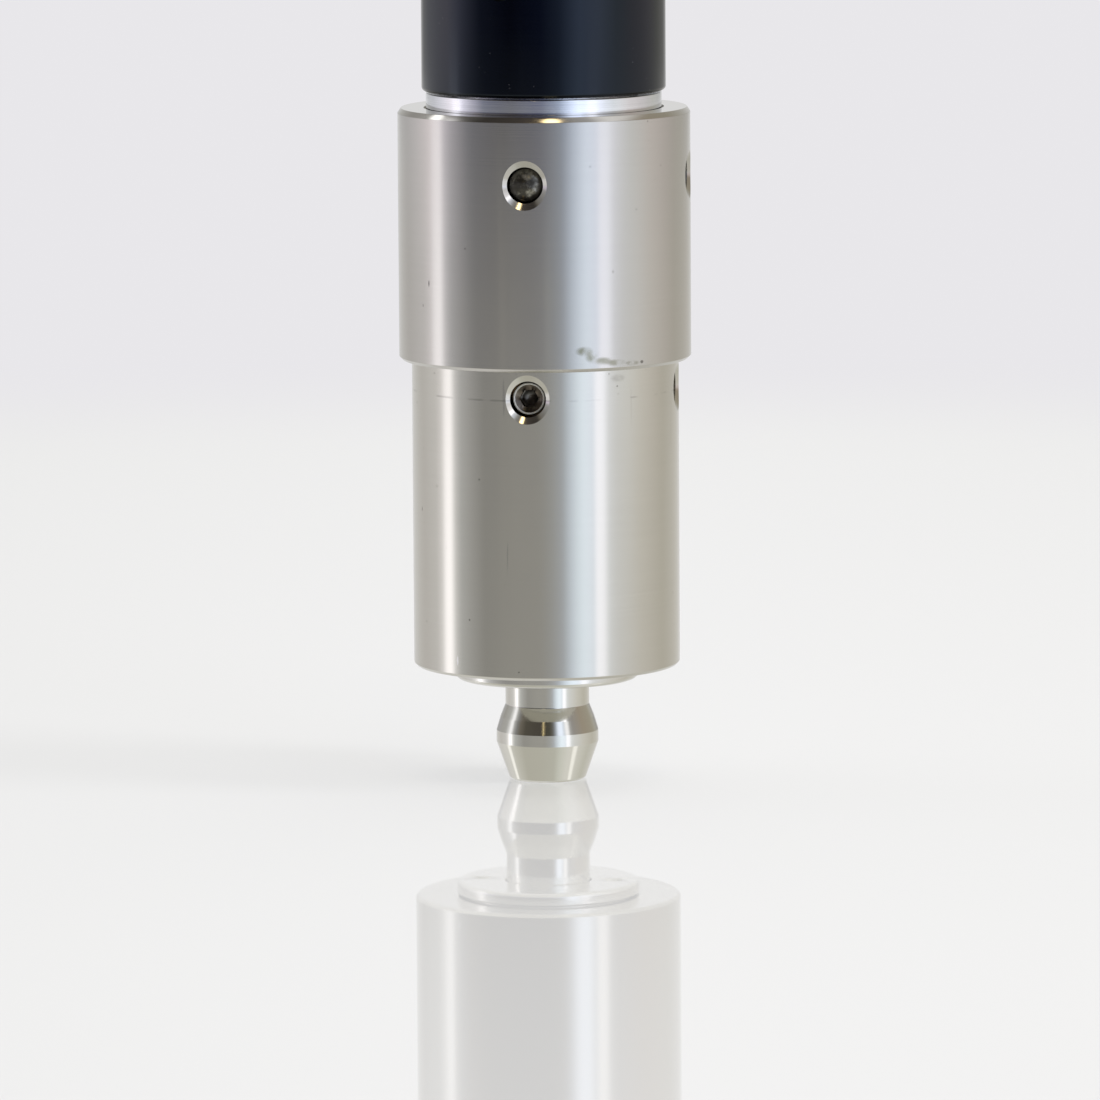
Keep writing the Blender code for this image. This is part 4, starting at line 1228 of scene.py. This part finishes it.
@dataclass
class ToolHolder(SubAssembly):
    """The sliding cup, its dog-point screws, and the ring and tip under it.

    Attributes:
        cavity: radius of the spring's space.
        counterbore: radius of the ring's thread.
        pilot: radius of the tip's pilot hole.
        web: lower and upper face of the web above the tip's flange.
        sink: the screws' holes.
        dog: radius and length of the screws' dog points.
    """

    cavity: float = 12.0 * MM
    counterbore: float = 10.15 * MM
    pilot: float = 4.15 * MM
    web: tuple[float, float] = (18.6 * MM, 22.0 * MM)
    sink: Sink = SCREW_SINK
    dog: tuple[float, float] = (1.25 * MM, 1.8 * MM)

    def build(self) -> None:
        """Makes the cup, screws, ring and tip."""
        self._cup()
        self._ring()
        self._tip()

    def _cup(self) -> None:
        """The cup and the screws in its wall."""
        cup = Extent.of("tool_holder")
        low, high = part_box("dog_point_screw_1")
        height = (low.z + high.z) / 2
        corners = [
            (cup.radius, cup.high, 0.4 * MM),
            (cup.radius, cup.low + 0.35 * MM, 0.1 * MM),
            (cup.radius - 0.35 * MM, cup.low, 0.1 * MM),
            (self.counterbore, cup.low, 0.15 * MM),
            (self.counterbore, self.web[0], 0),
            (self.pilot, self.web[0], 0.2 * MM),
            (self.pilot, self.web[1], 0.2 * MM),
            (self.cavity, self.web[1], 0.5 * MM),
            (self.cavity, cup.high, 0.3 * MM),
        ]
        depth = cup.radius - self.cavity + 2 * MM
        cutters = [outwards(self.sink.cutter(depth), a, height, cup.radius) for a in QUARTERS]
        stood = [standing(cutter) for cutter in cutters]
        sleeve = carve(lathe("holder_cup", corners, 160), cutters)
        true_walls(sleeve, [cup.radius, self.cavity], self.sink, stood)
        self.place(sleeve, Body.HOLDER, HOLDER_STEEL, Slot.STAINLESS, ["tool_holder"])
        for number, azimuth in enumerate(QUARTERS, 1):
            screw = SocketScrew().build(f"dog_screw_{number}", high.y - low.y, self.dog)
            outwards(screw, azimuth, height, -low.y)
            self.place(screw, Body.HOLDER, SCREW_STEEL, Slot.POLISHED, [f"dog_point_screw_{number}"])

    def _ring(self) -> None:
        """The threaded ring that keeps the tip in."""
        ring = Extent.of("tip_retaining_ring")
        thread, bore, seat = 10.0 * MM, 5.2 * MM, self.web[0] - 4.8 * MM
        corners = [
            (thread, ring.high, 0.3 * MM),
            (thread, seat, 0),
            (ring.radius, seat, 0.1 * MM),
            (ring.radius, ring.low, 0.55 * MM),
            (bore, ring.low, 0.25 * MM),
            (bore, ring.high, 0.1 * MM),
        ]
        cutters = []
        for side in (-1, 1):
            cutter = Sink(1.1 * MM, 1.25 * MM).cutter(1.6 * MM)
            cutter.rotation_euler = (math.pi, 0, 0)
            cutter.location = (side * 8.0 * MM, 0, ring.low)
            cutters.append(cutter)
        cover = carve(lathe("holder_ring", corners), cutters)
        true_walls(cover, [ring.radius, bore, thread])
        self.place(cover, Body.HOLDER, RING_STEEL, Slot.STAINLESS, ["tip_retaining_ring"])

    def _tip(self) -> None:
        """The olive-shaped tip."""
        tip = Extent.of("drive_tip")
        base = tip.low
        corners = [
            (0, tip.high, 0),
            (4.0 * MM, tip.high, 0.3 * MM),
            (4.0 * MM, self.web[0] - 0.2 * MM, 0),
            (tip.radius, self.web[0] - 0.2 * MM, 0.2 * MM),
            (tip.radius, self.web[0] - 3.2 * MM, 0.1 * MM),
            (5.05 * MM, self.web[0] - 3.2 * MM, 0),
            (5.05 * MM, base + 9.1 * MM, 0.3 * MM),
            (5.66 * MM, base + 7.55 * MM, 0.3 * MM),
            (6.15 * MM, base + 5.95 * MM, 0.06 * MM),
            (6.15 * MM, base + 4.55 * MM, 0.06 * MM),
            (4.65 * MM, base + 0.25 * MM, 0.08 * MM),
            (4.4 * MM, base, 0.08 * MM),
            (0, base, 0),
        ]
        olive = lathe("olive_tip", corners, 96, 6)
        self.place(olive, Body.HOLDER, TIP_STEEL, Slot.POLISHED, ["drive_tip"])


@dataclass
class Spindle(SubAssembly):
    """The shaft and the key in its shank.

    Attributes:
        shank: radius at the bearings and the shank.
        keyway: width and depth of the keyway.
        tapping: radius and depth of the hole in its lower end.
    """

    shank: float = 5.0 * MM
    keyway: tuple[float, float] = (3.2 * MM, 1.8 * MM)
    tapping: tuple[float, float] = (2.65 * MM, 8.2 * MM)

    def build(self) -> None:
        """Makes the shaft and its key."""
        shaft = Extent.of("spindle_shaft")
        shoulder = Extent.of("lower_bearing_inner_ring").low - 0.2 * MM
        hub = Extent.of("drive_hub").high + 0.2 * MM
        corners = [
            (0, shaft.high - 1.7 * MM, 0),
            (1.0 * MM, shaft.high, 0.05 * MM),
            (self.shank - 0.6 * MM, shaft.high, 0.05 * MM),
            (self.shank, shaft.high - 0.6 * MM, 0.05 * MM),
            (self.shank, shoulder, 0),
            (shaft.radius, shoulder, 0.2 * MM),
            (shaft.radius, hub, 0.2 * MM),
            (self.shank, hub, 0),
            (self.shank, shaft.low, 0.4 * MM),
            (0, shaft.low, 0),
        ]
        low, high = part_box("drive_key")
        middle = (low.z + high.z) / 2
        width, depth = self.keyway
        slot = stadium("slot", width, high.z - low.z + 0.3 * MM, -self.shank - MM, depth - self.shank)
        slot.location.z = middle
        radius, depth = self.tapping
        hole = Sink(radius, radius + 0.3 * MM).cutter(depth)
        hole.rotation_euler = (math.pi, 0, 0)
        hole.location.z = shaft.low
        rod = carve(lathe("shaft", corners, 96), [slot, hole])
        true_walls(rod, [self.shank, shaft.radius])
        self.place(rod, Body.SPINDLE, GROUND_STEEL, Slot.BEARING, ["spindle_shaft"])

        key = stadium("shank_key", high.x - low.x, high.z - low.z, low.y, high.y)
        key.location.z = middle
        bevel = key.modifiers.new("edges", "BEVEL")
        bevel.width = 0.2 * MM
        bevel.segments = 2
        bake(key)
        smooth(key, 40)
        self.place(key, Body.SPINDLE, BRASS, Slot.BRASS, ["drive_key"])


@dataclass
class BallBearing(SubAssembly):
    """One deep-groove ball bearing.

    Attributes:
        prefix: its nodes' prefix.
        cage_body: the body its cage and balls ride on.
        bore: radius of the inner ring's bore.
        pitch: radius of the balls' circle.
        ball: radius of a ball.
        groove: radius of the ball groove.
        balls: how many there are.
    """

    prefix: str
    cage_body: Body
    bore: float = 5.15 * MM
    pitch: float = 8.0 * MM
    ball: float = 1.5875 * MM
    groove: float = 1.68 * MM
    balls: int = 7

    def _race(self, middle: float, side: int) -> list[Corner]:
        """The groove's section from top to bottom, on the axis side (-1) or the outer side."""
        points = []
        for step in range(-5, 6):
            angle = math.radians(10 * step)
            across, down = self.groove * math.cos(angle), self.groove * math.sin(angle)
            points.append((self.pitch + side * across, middle - down, 0))
        return points

    def build(self) -> None:
        """Makes the rings, cage and balls."""
        inner = Extent.of(f"{self.prefix}_inner_ring")
        outer = Extent.of(f"{self.prefix}_outer_ring")
        middle = (inner.low + inner.high) / 2
        race = self._race(middle, -1)
        land = race[0][0]
        edge = 0.3 * MM
        corners = [(land, inner.high, 0.1 * MM), *race, (land, inner.low, 0.1 * MM)]
        corners += [(self.bore, inner.low, edge), (self.bore, inner.high, edge)]
        ring = lathe(f"{self.prefix}_inner_race", corners, 96)
        self.place(ring, Body.SPINDLE, GROUND_STEEL, Slot.BEARING, [f"{self.prefix}_inner_ring"])
        race = self._race(middle, 1)[::-1]
        land = race[0][0]
        corners = [
            (outer.radius, outer.high, edge),
            (outer.radius, outer.low, edge),
            (land, outer.low, 0.1 * MM),
        ]
        corners += [*race, (land, outer.high, 0.1 * MM)]
        ring = lathe(f"{self.prefix}_outer_race", corners, 96)
        self.place(ring, Body.HOUSING, GROUND_STEEL, Slot.BEARING, [f"{self.prefix}_outer_ring"])
        self._cage(middle)

    def _cage(self, middle: float) -> None:
        """The brass cage and the balls in its pockets."""
        low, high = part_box(f"{self.prefix}_cage")
        half = (high.z - low.z) / 2
        wall = 0.5 * MM
        edge = 0.1 * MM
        corners = [
            (self.pitch + wall, middle + half, edge),
            (self.pitch + wall, middle - half, edge),
            (self.pitch - wall, middle - half, edge),
            (self.pitch - wall, middle + half, edge),
        ]
        azimuths = [360 * (n + 1) / self.balls for n in range(self.balls)]
        pockets = [
            outwards(prism("pocket", self.ball + 0.1 * MM, -2 * MM, 2 * MM, 32), a, middle, self.pitch)
            for a in azimuths
        ]
        cage = carve(lathe(f"{self.prefix}_ball_cage", corners, 96, 2), pockets)
        self.place(cage, self.cage_body, BRASS, Slot.BRASS, [f"{self.prefix}_cage"])
        for number, azimuth in enumerate(azimuths, 1):
            bm = bmesh.new()
            bmesh.ops.create_uvsphere(bm, u_segments=24, v_segments=14, radius=self.ball)
            ball = mesh_object(f"{self.prefix}_rolling_ball_{number}", bm)
            outwards(ball, azimuth, middle, self.pitch)
            self.place(ball, self.cage_body, GROUND_STEEL, Slot.BEARING, [f"{self.prefix}_ball_{number}"])


@dataclass
class ReturnSpring(SubAssembly):
    """The coil that pushes the tool holder down.

    Attributes:
        wire: the wire's radius.
        turns: all its turns.
        closed: the closed turns at each end.
        pitch: the closed turns' pitch.
    """

    wire: float = 1.0 * MM
    turns: float = 5.5
    closed: float = 1.0
    pitch: float = 2.25 * MM

    def build(self, joints: Sequence[Mapping[str, Any]]) -> None:
        """Makes the coil.

        Args:
            joints: the frame's joints.
        """
        low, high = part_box("compression_spring")
        radius = high.x - self.wire
        foot, top = low.z + self.wire, high.z - self.wire
        free = self.turns - 2 * self.closed
        lead = (top - foot - 2 * self.closed * self.pitch) / free
        data = bpy.data.curves.new("spring_wire", "CURVE")
        data.dimensions = "3D"
        data.bevel_depth = self.wire
        data.bevel_resolution = 4
        data.use_fill_caps = True
        count = round(self.turns * 30) + 1
        spline = data.splines.new("POLY")
        spline.points.add(count - 1)
        for number, point in enumerate(spline.points):
            turn = number / 30
            ends = min(turn, self.closed) + max(turn - self.closed - free, 0)
            height = foot + ends * self.pitch + min(max(turn - self.closed, 0), free) * lead
            angle = math.tau * turn
            point.co = (radius * math.cos(angle), radius * math.sin(angle), height, 1.0)
        curve = bpy.data.objects.new("spring_curve", data)
        bpy.context.scene.collection.objects.link(curve)
        bpy.context.view_layer.update()
        mesh = bpy.data.meshes.new_from_object(curve.evaluated_get(bpy.context.evaluated_depsgraph_get()))
        bpy.data.objects.remove(curve)
        bm = bmesh.new()
        bm.from_mesh(mesh)
        bmesh.ops.remove_doubles(bm, verts=bm.verts, dist=0.00001)
        coil = mesh_object("return_spring", bm)
        self.place(coil, Body.SPINDLE, SPRING_WIRE, Slot.SPRING, ["compression_spring"])
        travel = next(j["range_m"][1] for j in joints if j["name"] == "holder_slide")
        length = high.z - low.z
        (length - travel) / length
        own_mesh(coil)


@dataclass
class InnerHardware(SubAssembly):
    """The frame's own hub, fasteners, spacers and seals, which only need their finishes."""

    finishes: Mapping[str, Finish] = field(
        default_factory=lambda: {
            "drive_hub": BRONZE,
            "hub_cross_pin": GROUND_STEEL,
            "hub_washer": GROUND_STEEL,
            "hub_bolt": BLACK_OXIDE,
            "nut_washer": GROUND_STEEL,
            "spindle_lock_nut": BLACK_OXIDE,
            "spring_seat_washer": GROUND_STEEL,
            "tip_dowel": GROUND_STEEL,
            "inner_spacer": BRIGHT_ALUMINIUM,
            "outer_spacer": BRIGHT_ALUMINIUM,
            "lower_shaft_seal": RUBBER,
            "upper_shaft_seal": RUBBER,
        }
    )

    def dress(self, nodes: Mapping[str, bpy.types.Object]) -> None:
        """Gives each node its finish.

        Args:
            nodes: the frame's nodes by name.
        """
        for name, finish in self.finishes.items():
            for slot in nodes[name].material_slots:
                slot.material = finish.material()
            self.placed.append(nodes[name])


# ----------------------------------------------------------------------------------- studio


@dataclass(frozen=True)
class Band:
    """What lies round the object between two elevations.

    Attributes:
        low: the lower elevation, in degrees.
        high: the upper elevation.
        colours: the colour at each offset, from -180 to 180 degrees.
    """

    low: float
    high: float
    colours: tuple[tuple[float, Colour], ...]

    def glow(self, graph: Graph, turn: Wire, peak: float) -> Wire:
        """The band's colour as a share of the peak, where turn runs from 0 at -180 to 1 at 180 degrees."""
        stops = [((offset + 180) / 360, tuple(c / peak for c in colour)) for offset, colour in self.colours]
        return graph.add("ShaderNodeValToRGB", {"stops": stops}, {"Fac": turn})["Color"]


@dataclass
class Studio:
    """Floor, backdrop, lamps, surroundings and camera.

    Directions in the surroundings are offsets, in degrees, from the side that faces the
    camera; positive ones turn towards the camera's right.

    Attributes:
        facing: the azimuth of the side that faces the camera.
        backdrop: the background's colour.
        bands: the surroundings from the nadir to the zenith; they blend into each other.
        glints: lamps and windows, as (offset, elevation, radius, colour).
    """

    facing: float = -82.3
    backdrop: Colour = (0.81, 0.80, 0.825)
    bands: tuple[Band, ...] = (
        Band(
            -90,
            -27,
            (
                (-180, (0.82, 0.82, 0.80)),
                (-119, (0.87, 0.86, 0.83)),
                (-95, (0.73, 0.72, 0.66)),
                (-67, (0.61, 0.60, 0.53)),
                (-20, (0.62, 0.61, 0.54)),
                (20, (0.64, 0.64, 0.57)),
                (36, (0.765, 0.775, 0.71)),
                (62, (0.90, 0.89, 0.84)),
                (89, (0.83, 0.82, 0.765)),
                (120, (0.69, 0.68, 0.61)),
                (180, (0.82, 0.82, 0.80)),
            ),
        ),
        Band(
            -16,
            -7.2,
            (
                (-180, (0.8, 0.8, 0.8)),
                (-150, (0.74, 0.73, 0.71)),
                (-130, (0.7, 0.68, 0.66)),
                (-110, (0.79, 0.78, 0.77)),
                (-102, (1.05, 1.03, 1.04)),
                (-97, (1.72, 1.69, 1.74)),
                (-91, (1.8, 1.77, 1.82)),
                (-85.5, (0.9, 0.9, 0.9)),
                (-79, (0.62, 0.63, 0.62)),
                (-69, (0.519, 0.519, 0.503)),
                (-55, (0.404, 0.399, 0.377)),
                (-30, (0.444, 0.438, 0.411)),
                (-5, (0.453, 0.447, 0.419)),
                (6, (0.492, 0.503, 0.503)),
                (14, (0.572, 0.604, 0.647)),
                (20, (0.791, 0.873, 0.976)),
                (25, (0.98, 1.09, 1.22)),
                (32, (1.16, 1.3, 1.45)),
                (38, (1.16, 1.27, 1.42)),
                (41, (1.08, 1.18, 1.32)),
                (45, (1.52, 1.54, 1.66)),
                (51, (1.44, 1.46, 1.56)),
                (56, (0.978, 1.01, 1.04)),
                (64, (0.88, 0.89, 0.89)),
                (90, (0.78, 0.76, 0.7)),
                (120, (0.66, 0.635, 0.56)),
                (150, (0.73, 0.71, 0.66)),
                (180, (0.8, 0.8, 0.8)),
            ),
        ),
        Band(
            -5.4,
            -5.0,
            (
                (-180, (0.76, 0.76, 0.76)),
                (-150, (0.695, 0.685, 0.665)),
                (-136, (0.65, 0.635, 0.615)),
                (-121, (0.76, 0.75, 0.735)),
                (-110, (0.81, 0.8, 0.79)),
                (-103, (0.938, 0.918, 0.927)),
                (-97, (1.24, 1.22, 1.26)),
                (-91, (1.53, 1.51, 1.55)),
                (-85.5, (0.852, 0.852, 0.863)),
                (-79, (0.608, 0.619, 0.608)),
                (-69, (0.523, 0.517, 0.502)),
                (-56, (0.381, 0.375, 0.356)),
                (-44, (0.391, 0.385, 0.366)),
                (-27, (0.469, 0.463, 0.435)),
                (-11, (0.446, 0.44, 0.406)),
                (0, (0.503, 0.503, 0.462)),
                (8, (0.569, 0.582, 0.554)),
                (14, (0.592, 0.63, 0.657)),
                (20, (0.886, 0.998, 1.13)),
                (25, (1.06, 1.2, 1.36)),
                (32, (1.34, 1.52, 1.71)),
                (41, (1.29, 1.41, 1.67)),
                (45, (1.72, 1.75, 1.98)),
                (51, (1.64, 1.71, 1.93)),
                (56, (1.16, 1.19, 1.3)),
                (64, (1.06, 1.08, 1.12)),
                (76, (1.08, 1.09, 1.1)),
                (91, (0.921, 0.911, 0.863)),
                (108, (0.767, 0.726, 0.669)),
                (123, (0.617, 0.592, 0.521)),
                (150, (0.66, 0.64, 0.59)),
                (180, (0.75, 0.75, 0.75)),
            ),
        ),
        Band(
            -4.6,
            -4.45,
            (
                (-180, (0.8, 0.8, 0.8)),
                (-120, (0.85, 0.85, 0.87)),
                (-103, (1, 1, 1.04)),
                (-98, (1.8, 1.8, 1.85)),
                (-91, (1.8, 1.8, 1.85)),
                (-86, (0.8, 0.81, 0.84)),
                (-75, (0.42, 0.43, 0.45)),
                (-65, (0.27, 0.28, 0.3)),
                (-43, (0.18, 0.19, 0.21)),
                (-20, (0.22, 0.23, 0.25)),
                (0, (0.18, 0.185, 0.21)),
                (12, (0.2, 0.22, 0.25)),
                (20, (0.48, 0.55, 0.66)),
                (31, (0.833, 0.918, 1.04)),
                (39, (0.8, 0.88, 0.976)),
                (45, (1.01, 1.03, 1.09)),
                (52, (0.994, 1.01, 1.08)),
                (58, (0.85, 0.867, 0.901)),
                (70, (0.86, 0.87, 0.89)),
                (91, (0.76, 0.76, 0.76)),
                (112, (0.62, 0.61, 0.59)),
                (134, (0.66, 0.65, 0.62)),
                (180, (0.8, 0.8, 0.8)),
            ),
        ),
        Band(
            -4.25,
            -2.0,
            (
                (-180, (0.80, 0.80, 0.80)),
                (-154, (0.42, 0.42, 0.42)),
                (-138, (0.53, 0.53, 0.56)),
                (-120, (0.87, 0.83, 0.89)),
                (-103, (1.28, 1.14, 1.21)),
                (-86, (0.93, 0.85, 1.01)),
                (-62, (0.14, 0.15, 0.24)),
                (-32, (0.0, 0.0, 0.04)),
                (-3, (0.05, 0.07, 0.20)),
                (16, (0.35, 0.42, 0.60)),
                (35, (1.13, 1.23, 1.53)),
                (56, (1.27, 1.32, 1.48)),
                (73, (0.81, 0.84, 0.83)),
                (92, (0.80, 0.71, 0.69)),
                (115, (0.67, 0.61, 0.60)),
                (135, (0.49, 0.48, 0.42)),
                (154, (0.40, 0.39, 0.37)),
                (180, (0.80, 0.80, 0.80)),
            ),
        ),
        Band(
            8,
            38,
            (
                (-180, (0.80, 0.80, 0.80)),
                (-160, (0.60, 0.60, 0.58)),
                (-140, (0.42, 0.41, 0.39)),
                (-129, (0.48, 0.475, 0.455)),
                (-112, (0.55, 0.55, 0.54)),
                (-104, (0.85, 0.85, 0.86)),
                (-98, (1.30, 1.30, 1.35)),
                (-93, (1.30, 1.30, 1.35)),
                (-88, (0.60, 0.60, 0.60)),
                (-80, (0.30, 0.30, 0.30)),
                (-70, (0.20, 0.18, 0.15)),
                (-55, (0.11, 0.10, 0.08)),
                (-20, (0.09, 0.08, 0.068)),
                (4, (0.09, 0.085, 0.065)),
                (12, (0.15, 0.145, 0.13)),
                (16, (0.26, 0.27, 0.29)),
                (20, (0.50, 0.55, 0.63)),
                (27, (1.15, 1.26, 1.48)),
                (35, (1.20, 1.32, 1.55)),
                (41, (0.80, 0.86, 0.97)),
                (46, (1.30, 1.30, 1.35)),
                (51, (1.25, 1.25, 1.30)),
                (56, (0.55, 0.55, 0.55)),
                (63, (0.40, 0.385, 0.37)),
                (93, (0.43, 0.375, 0.30)),
                (129, (0.45, 0.42, 0.34)),
                (150, (0.58, 0.57, 0.53)),
                (180, (0.80, 0.80, 0.80)),
            ),
        ),
        Band(
            50,
            90,
            (
                (-180, (0.40, 0.38, 0.36)),
                (-165, (0.32, 0.30, 0.28)),
                (-138, (0.20, 0.18, 0.165)),
                (-118, (0.40, 0.40, 0.40)),
                (-100, (0.24, 0.23, 0.22)),
                (-85, (0.12, 0.115, 0.11)),
                (-70, (0.05, 0.045, 0.04)),
                (-20, (0.08, 0.068, 0.06)),
                (5, (0.08, 0.068, 0.06)),
                (20, (0.20, 0.19, 0.18)),
                (38, (0.45, 0.45, 0.45)),
                (54, (0.50, 0.50, 0.50)),
                (62, (0.85, 0.85, 0.85)),
                (74, (1.10, 1.10, 1.10)),
                (103, (0.86, 0.85, 0.83)),
                (140, (0.60, 0.58, 0.55)),
                (180, (0.40, 0.38, 0.36)),
            ),
        ),
    )
    glints: tuple[tuple[float, float, float, Colour], ...] = (
        (-10, 22, 2.4, (3.6, 2.9, 1.5)),
        (-10, 28, 2.6, (3.0, 2.4, 1.2)),
        (9, 61.5, 6.5, (5.0, 3.9, 2.1)),
        (-110, -29.5, 7.0, (0.5, 0.5, 0.5)),
        (77.5, -38, 7.0, (0.4, 0.4, 0.4)),
        (-113, 36, 7.0, (1.8, 1.8, 1.8)),
        (43, 31, 8.0, (0.9, 0.9, 1.0)),
    )

    def build(self) -> None:
        """Makes the whole studio."""
        self._surroundings()
        self._floor()
        self._lamp("side_lamp", 74.0, 27.0, 1.1, 0.3, 5.0)
        self._lamp("top_lamp", 180.0, 80.0, 0.9, 0.8, 2.5)
        self._camera()

    def _direction(self, offset: float, elevation: float) -> Vector:
        """The direction at an offset and elevation, in degrees."""
        angle, rise = math.radians(self.facing + offset), math.radians(elevation)
        return Vector((math.cos(angle) * math.cos(rise), math.sin(angle) * math.cos(rise), math.sin(rise)))

    def _surroundings(self) -> None:
        """What metal reflects: a pale room with a dark side in front and three bright strips."""
        world = bpy.data.worlds.new("studio")
        bpy.context.scene.world = world
        world.use_nodes = True
        graph = Graph(world.node_tree)
        direction = graph.add("ShaderNodeTexCoord")["Generated"]
        split = graph.add("ShaderNodeSeparateXYZ", None, {"Vector": direction})
        turn = (split["Y"].arctangent(split["X"]) / math.tau + (0.5 - self.facing / 360)).fraction()
        rise = split["Z"].arcsine() * (180 / math.pi)
        peak = max(max(colour) for band in self.bands for _, colour in band.colours)
        glow = self.bands[0].glow(graph, turn, peak)
        for below, band in zip(self.bands, self.bands[1:]):
            glow = graph.mix(rise.ramp(below.high, band.low), glow, band.glow(graph, turn, peak))
        seen = graph.add("ShaderNodeBackground", None, {"Color": glow, "Strength": peak})["Background"]
        for offset, elevation, radius, colour in self.glints:
            near = graph.distance(direction, tuple(self._direction(offset, elevation)))
            spot = near.ramp(math.radians(radius), math.radians(radius) * 0.5)
            lamp = graph.add("ShaderNodeBackground", None, {"Color": (*colour, 1.0), "Strength": spot})
            seen = graph.add("ShaderNodeAddShader", None, {0: seen, 1: lamp["Background"]})["Shader"]
        plain = {"Color": (*self.backdrop, 1.0), "Strength": 1.0}
        plate = graph.add("ShaderNodeBackground", None, plain)["Background"]
        camera = graph.add("ShaderNodeLightPath")["Is Camera Ray"]
        surface = graph.add("ShaderNodeMixShader", None, {0: camera, 1: seen, 2: plate})["Shader"]
        graph.add("ShaderNodeOutputWorld", None, {"Surface": surface})

    def _floor(self) -> None:
        """A glossy white sheet that fades into the backdrop behind the object."""
        bm = bmesh.new()
        bmesh.ops.create_circle(bm, cap_ends=True, segments=96, radius=4.0)
        floor = mesh_object("floor", bm)
        floor.location.z = -0.05 * MM
        made = bpy.data.materials.new("white_sheet")
        made.use_nodes = True
        graph = Graph(made.node_tree)
        paths = graph.add("ShaderNodeLightPath")
        body = graph.add("ShaderNodeBsdfDiffuse", None, {"Color": (0.46, 0.46, 0.46, 1.0)})["BSDF"]
        lift = {"Color": (0.985, 0.99, 1.0, 1.0), "Strength": 0.545}
        glow = graph.add("ShaderNodeEmission", None, lift)["Emission"]
        white = graph.add("ShaderNodeAddShader", None, {0: body, 1: glow})["Shader"]
        gloss = graph.add("ShaderNodeBsdfGlossy", None, {"Color": (1, 1, 1, 1), "Roughness": 0.012})["BSDF"]
        fresnel = graph.add("ShaderNodeFresnel", None, {"IOR": 1.5})["Fac"]
        sheet = graph.add("ShaderNodeMixShader", None, {0: fresnel, 1: white, 2: gloss})["Shader"]
        plain = {"Color": (*self.backdrop, 1.0), "Strength": 1.0}
        far = graph.add("ShaderNodeEmission", None, plain)["Emission"]
        fade = Turned(graph).radius.ramp(0.33, 0.47)
        seen = graph.add("ShaderNodeMixShader", None, {0: fade, 1: sheet, 2: far})["Shader"]
        clear = graph.add("ShaderNodeBsdfTransparent")["BSDF"]
        mixed = {0: paths["Is Glossy Ray"], 1: seen, 2: clear}
        final = graph.add("ShaderNodeMixShader", None, mixed)["Shader"]
        graph.add("ShaderNodeOutputMaterial", None, {"Surface": final})
        floor.data.materials.append(made)

    def _lamp(
        self, name: str, offset: float, elevation: float, distance: float, size: float, power: float
    ) -> None:
        """A square soft lamp that points at the object and isn't mirrored in it."""
        data = bpy.data.lights.new(name, "AREA")
        data.size = size
        data.energy = power
        lamp = bpy.data.objects.new(name, data)
        bpy.context.scene.collection.objects.link(lamp)
        direction = self._direction(offset, elevation)
        lamp.location = direction * distance
        lamp.rotation_euler = direction.to_track_quat("Z", "Y").to_euler()
        lamp.visible_glossy = False

    def _camera(self) -> None:
        """A long lens a metre away, a little above the object."""
        data = bpy.data.cameras.new("camera")
        data.sensor_width = 36.0
        data.lens = 278.2
        data.clip_start = 0.05
        camera = bpy.data.objects.new("camera", data)
        bpy.context.scene.collection.objects.link(camera)
        towards = self._direction(0.0, 7.44)
        right = Vector((-math.sin(math.radians(self.facing)), math.cos(math.radians(self.facing)), 0))
        target = Vector((0, 0, 27.65 * MM)) + right * 0.43 * MM
        camera.location = target + towards * 1.0226
        roll = Matrix.Rotation(math.radians(-0.34), 4, "Z")
        facing = towards.to_track_quat("Z", "Y").to_matrix().to_4x4()
        camera.rotation_euler = (facing @ roll).to_euler()
        bpy.context.scene.camera = camera
        bpy.context.scene.view_settings.view_transform = "Standard"


def main() -> None:
    """Builds the head and its studio."""
    logging.basicConfig(level=logging.INFO, format="%(name)s %(message)s")
    for obj in list(bpy.data.objects):
        bpy.data.objects.remove(obj)
    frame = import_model()
    builders: list[tuple[SubAssembly, Callable[[], None]]] = []
    for part in (
        BearingHousing(),
        BearingRetainer(),
        ClampCollar(),
        ToolHolder(),
        Spindle(),
        BallBearing("lower_bearing", Body.LOWER_CAGE),
        BallBearing("upper_bearing", Body.UPPER_CAGE),
    ):
        builders.append((part, part.build))
    spring, hardware = ReturnSpring(), InnerHardware()
    builders.append((spring, lambda: spring.build(frame["joints"])))
    builders.append((hardware, lambda: hardware.dress(frame["nodes"])))
    for part, build in builders:
        build()
        part.report()
    Studio().build()


if __name__ == "__main__":
    main()
